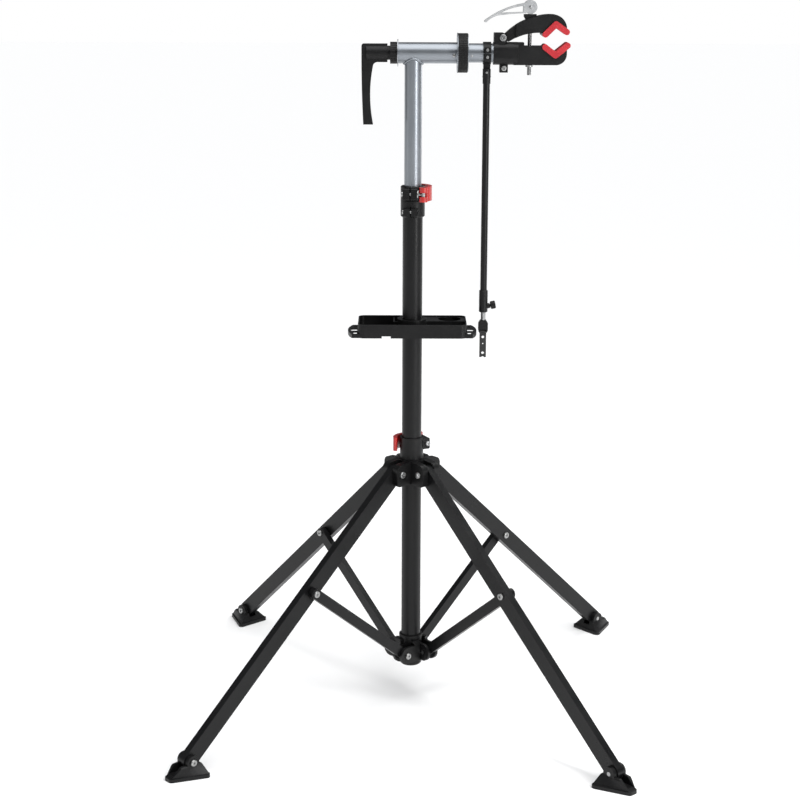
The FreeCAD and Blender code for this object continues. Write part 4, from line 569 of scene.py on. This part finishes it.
# radius, height and neck of each screw
DETENT_SCREW = (3.4 * MM, 2.2 * MM, 1.5 * MM)
SHAFT_RIVET = (2.3 * MM, 1.3 * MM, 1.0 * MM)
PAD_SCREW = (3.2 * MM, 4.2 * MM, 2.5 * MM)
SCREW_SUNK = 0.2 * MM

DETENT_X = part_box("fixed_index_disc")[0].x - 7 * MM
DETENT_PLACE = (DETENT_X, SCREW_SUNK - TEE_RADIUS, HEAD_Z - 4 * MM)
make_piece("detent_screw", lambda work: round_screw(work, DETENT_PLACE, FRONT, *DETENT_SCREW),
           "post", "zinc_steel")

COLLAR_STEP = 3 * MM
SHAFT_FRONT = COLLAR_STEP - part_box("holder_collar")[1].y
RIVET_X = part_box("turning_index_disc")[1].x + 7.5 * MM
RIVET_PLACE = (RIVET_X, SHAFT_FRONT + SCREW_SUNK, HEAD_Z - 4.5 * MM)
make_piece("shaft_rivet", lambda work: round_screw(work, RIVET_PLACE, FRONT, *SHAFT_RIVET),
           "clamp", "zinc_steel")

# how far a pad's screws lie off its middle, and in from its back
PAD_SCREW_ASIDE = 9 * MM
PAD_SCREW_IN = 0.8 * MM
for pad_name, pad_body, lean in (("upper_pad", "moving_jaw", 0.55), ("lower_pad", "clamp", -0.35)):
    pad_low, pad_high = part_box(pad_name)
    heel_z = pad_low.z + 6 * MM if pad_name == "upper_pad" else pad_high.z - 8.6 * MM
    for side_name, side in (("front", -1), ("back", 1)):
        place = (pad_low.x + PAD_SCREW_IN, side * PAD_SCREW_ASIDE, heel_z)
        make_piece(f"{pad_name}_screw_{side_name}",
                   lambda work: round_screw(work, place, (-1, 0, lean), *PAD_SCREW), pad_body, "zinc_steel")


# ------------------------------------------------------------------ stage, camera and light
floor_mesh = bpy.data.meshes.new("floor")
FLOOR_HALF = 30.0
FLOOR_CORNERS = [(x * FLOOR_HALF, y * FLOOR_HALF, 0) for x, y in ((-1, -1), (1, -1), (1, 1), (-1, 1))]
floor_mesh.from_pydata(FLOOR_CORNERS, [], [(0, 1, 2, 3)])
floor = bpy.data.objects.new("floor", floor_mesh)
bpy.context.scene.collection.objects.link(floor)
floor_paint = bpy.data.materials.new("pale floor")
floor_paint.use_nodes = True
set_inputs(floor_paint.node_tree.nodes["Principled BSDF"],
           {"Base Color": (0.95, 0.95, 0.95, 1), "Roughness": 1.0, "Specular IOR Level": 0.0})
floor_mesh.materials.append(floor_paint)

world = bpy.data.worlds.new("studio")
bpy.context.scene.world = world
world.use_nodes = True
sky = world.node_tree
room = sky.nodes["Background"]
set_inputs(room, {"Color": (0.93, 0.96, 1.0, 1.0), "Strength": 0.15})
backdrop = add(sky, "ShaderNodeBackground", inputs={"Color": (1.0, 1.0, 1.0, 1.0), "Strength": 1.0})
chooser = sky.nodes.new("ShaderNodeMixShader")
sky.links.new(sky.nodes.new("ShaderNodeLightPath").outputs["Is Camera Ray"], chooser.inputs[0])
sky.links.new(room.outputs[0], chooser.inputs[1])
sky.links.new(backdrop.outputs[0], chooser.inputs[2])
sky.links.new(chooser.outputs[0], sky.nodes["World Output"].inputs["Surface"])


def soft_light(name, place, target, size, power):
    """Large rectangular lamp aimed at a point; size is (width, height)."""
    lamp = bpy.data.lights.new(name, "AREA")
    lamp.shape = "RECTANGLE"
    lamp.size, lamp.size_y = size
    lamp.energy = power
    holder = bpy.data.objects.new(name, lamp)
    bpy.context.scene.collection.objects.link(holder)
    holder.location = place
    holder.rotation_euler = (Vector(target) - Vector(place)).to_track_quat("-Z", "Y").to_euler()


MIDDLE = Vector((0, 0, 0.8))
soft_light("key softbox", (1.9, -2.0, 1.7), MIDDLE, (0.42, 2.6), 48)
soft_light("left softbox", (-2.8, -0.6, 1.5), MIDDLE, (0.35, 2.4), 3)
soft_light("back softbox", (1.8, 2.2, 1.9), MIDDLE, (1.0, 2.0), 22)
overhead = bpy.data.lights.new("overhead", "SUN")
overhead.energy = 2.95
overhead.angle = math.radians(70)
overhead_holder = bpy.data.objects.new("overhead", overhead)
bpy.context.scene.collection.objects.link(overhead_holder)
overhead_holder.rotation_euler = (math.radians(14), math.radians(10), 0)

# lens in millimetres, angles in radians
SENSOR_WIDTH = 36.0
LENS = 78.9
PITCH_DOWN = 0.244
ROLL = 0.003
CAMERA_PLACE = (-22.95 * MM, -3303.3 * MM, 1436.3 * MM)
camera_data = bpy.data.cameras.new("camera")
camera_data.sensor_width = SENSOR_WIDTH
camera_data.lens = LENS
camera = bpy.data.objects.new("camera", camera_data)
bpy.context.scene.collection.objects.link(camera)
camera.location = CAMERA_PLACE
TILT = Matrix.Rotation(math.pi / 2 - PITCH_DOWN, 3, "X")
camera.rotation_euler = (TILT @ Matrix.Rotation(ROLL, 3, "Z")).to_euler()
bpy.context.scene.camera = camera
bpy.context.scene.view_settings.view_transform = "Standard"
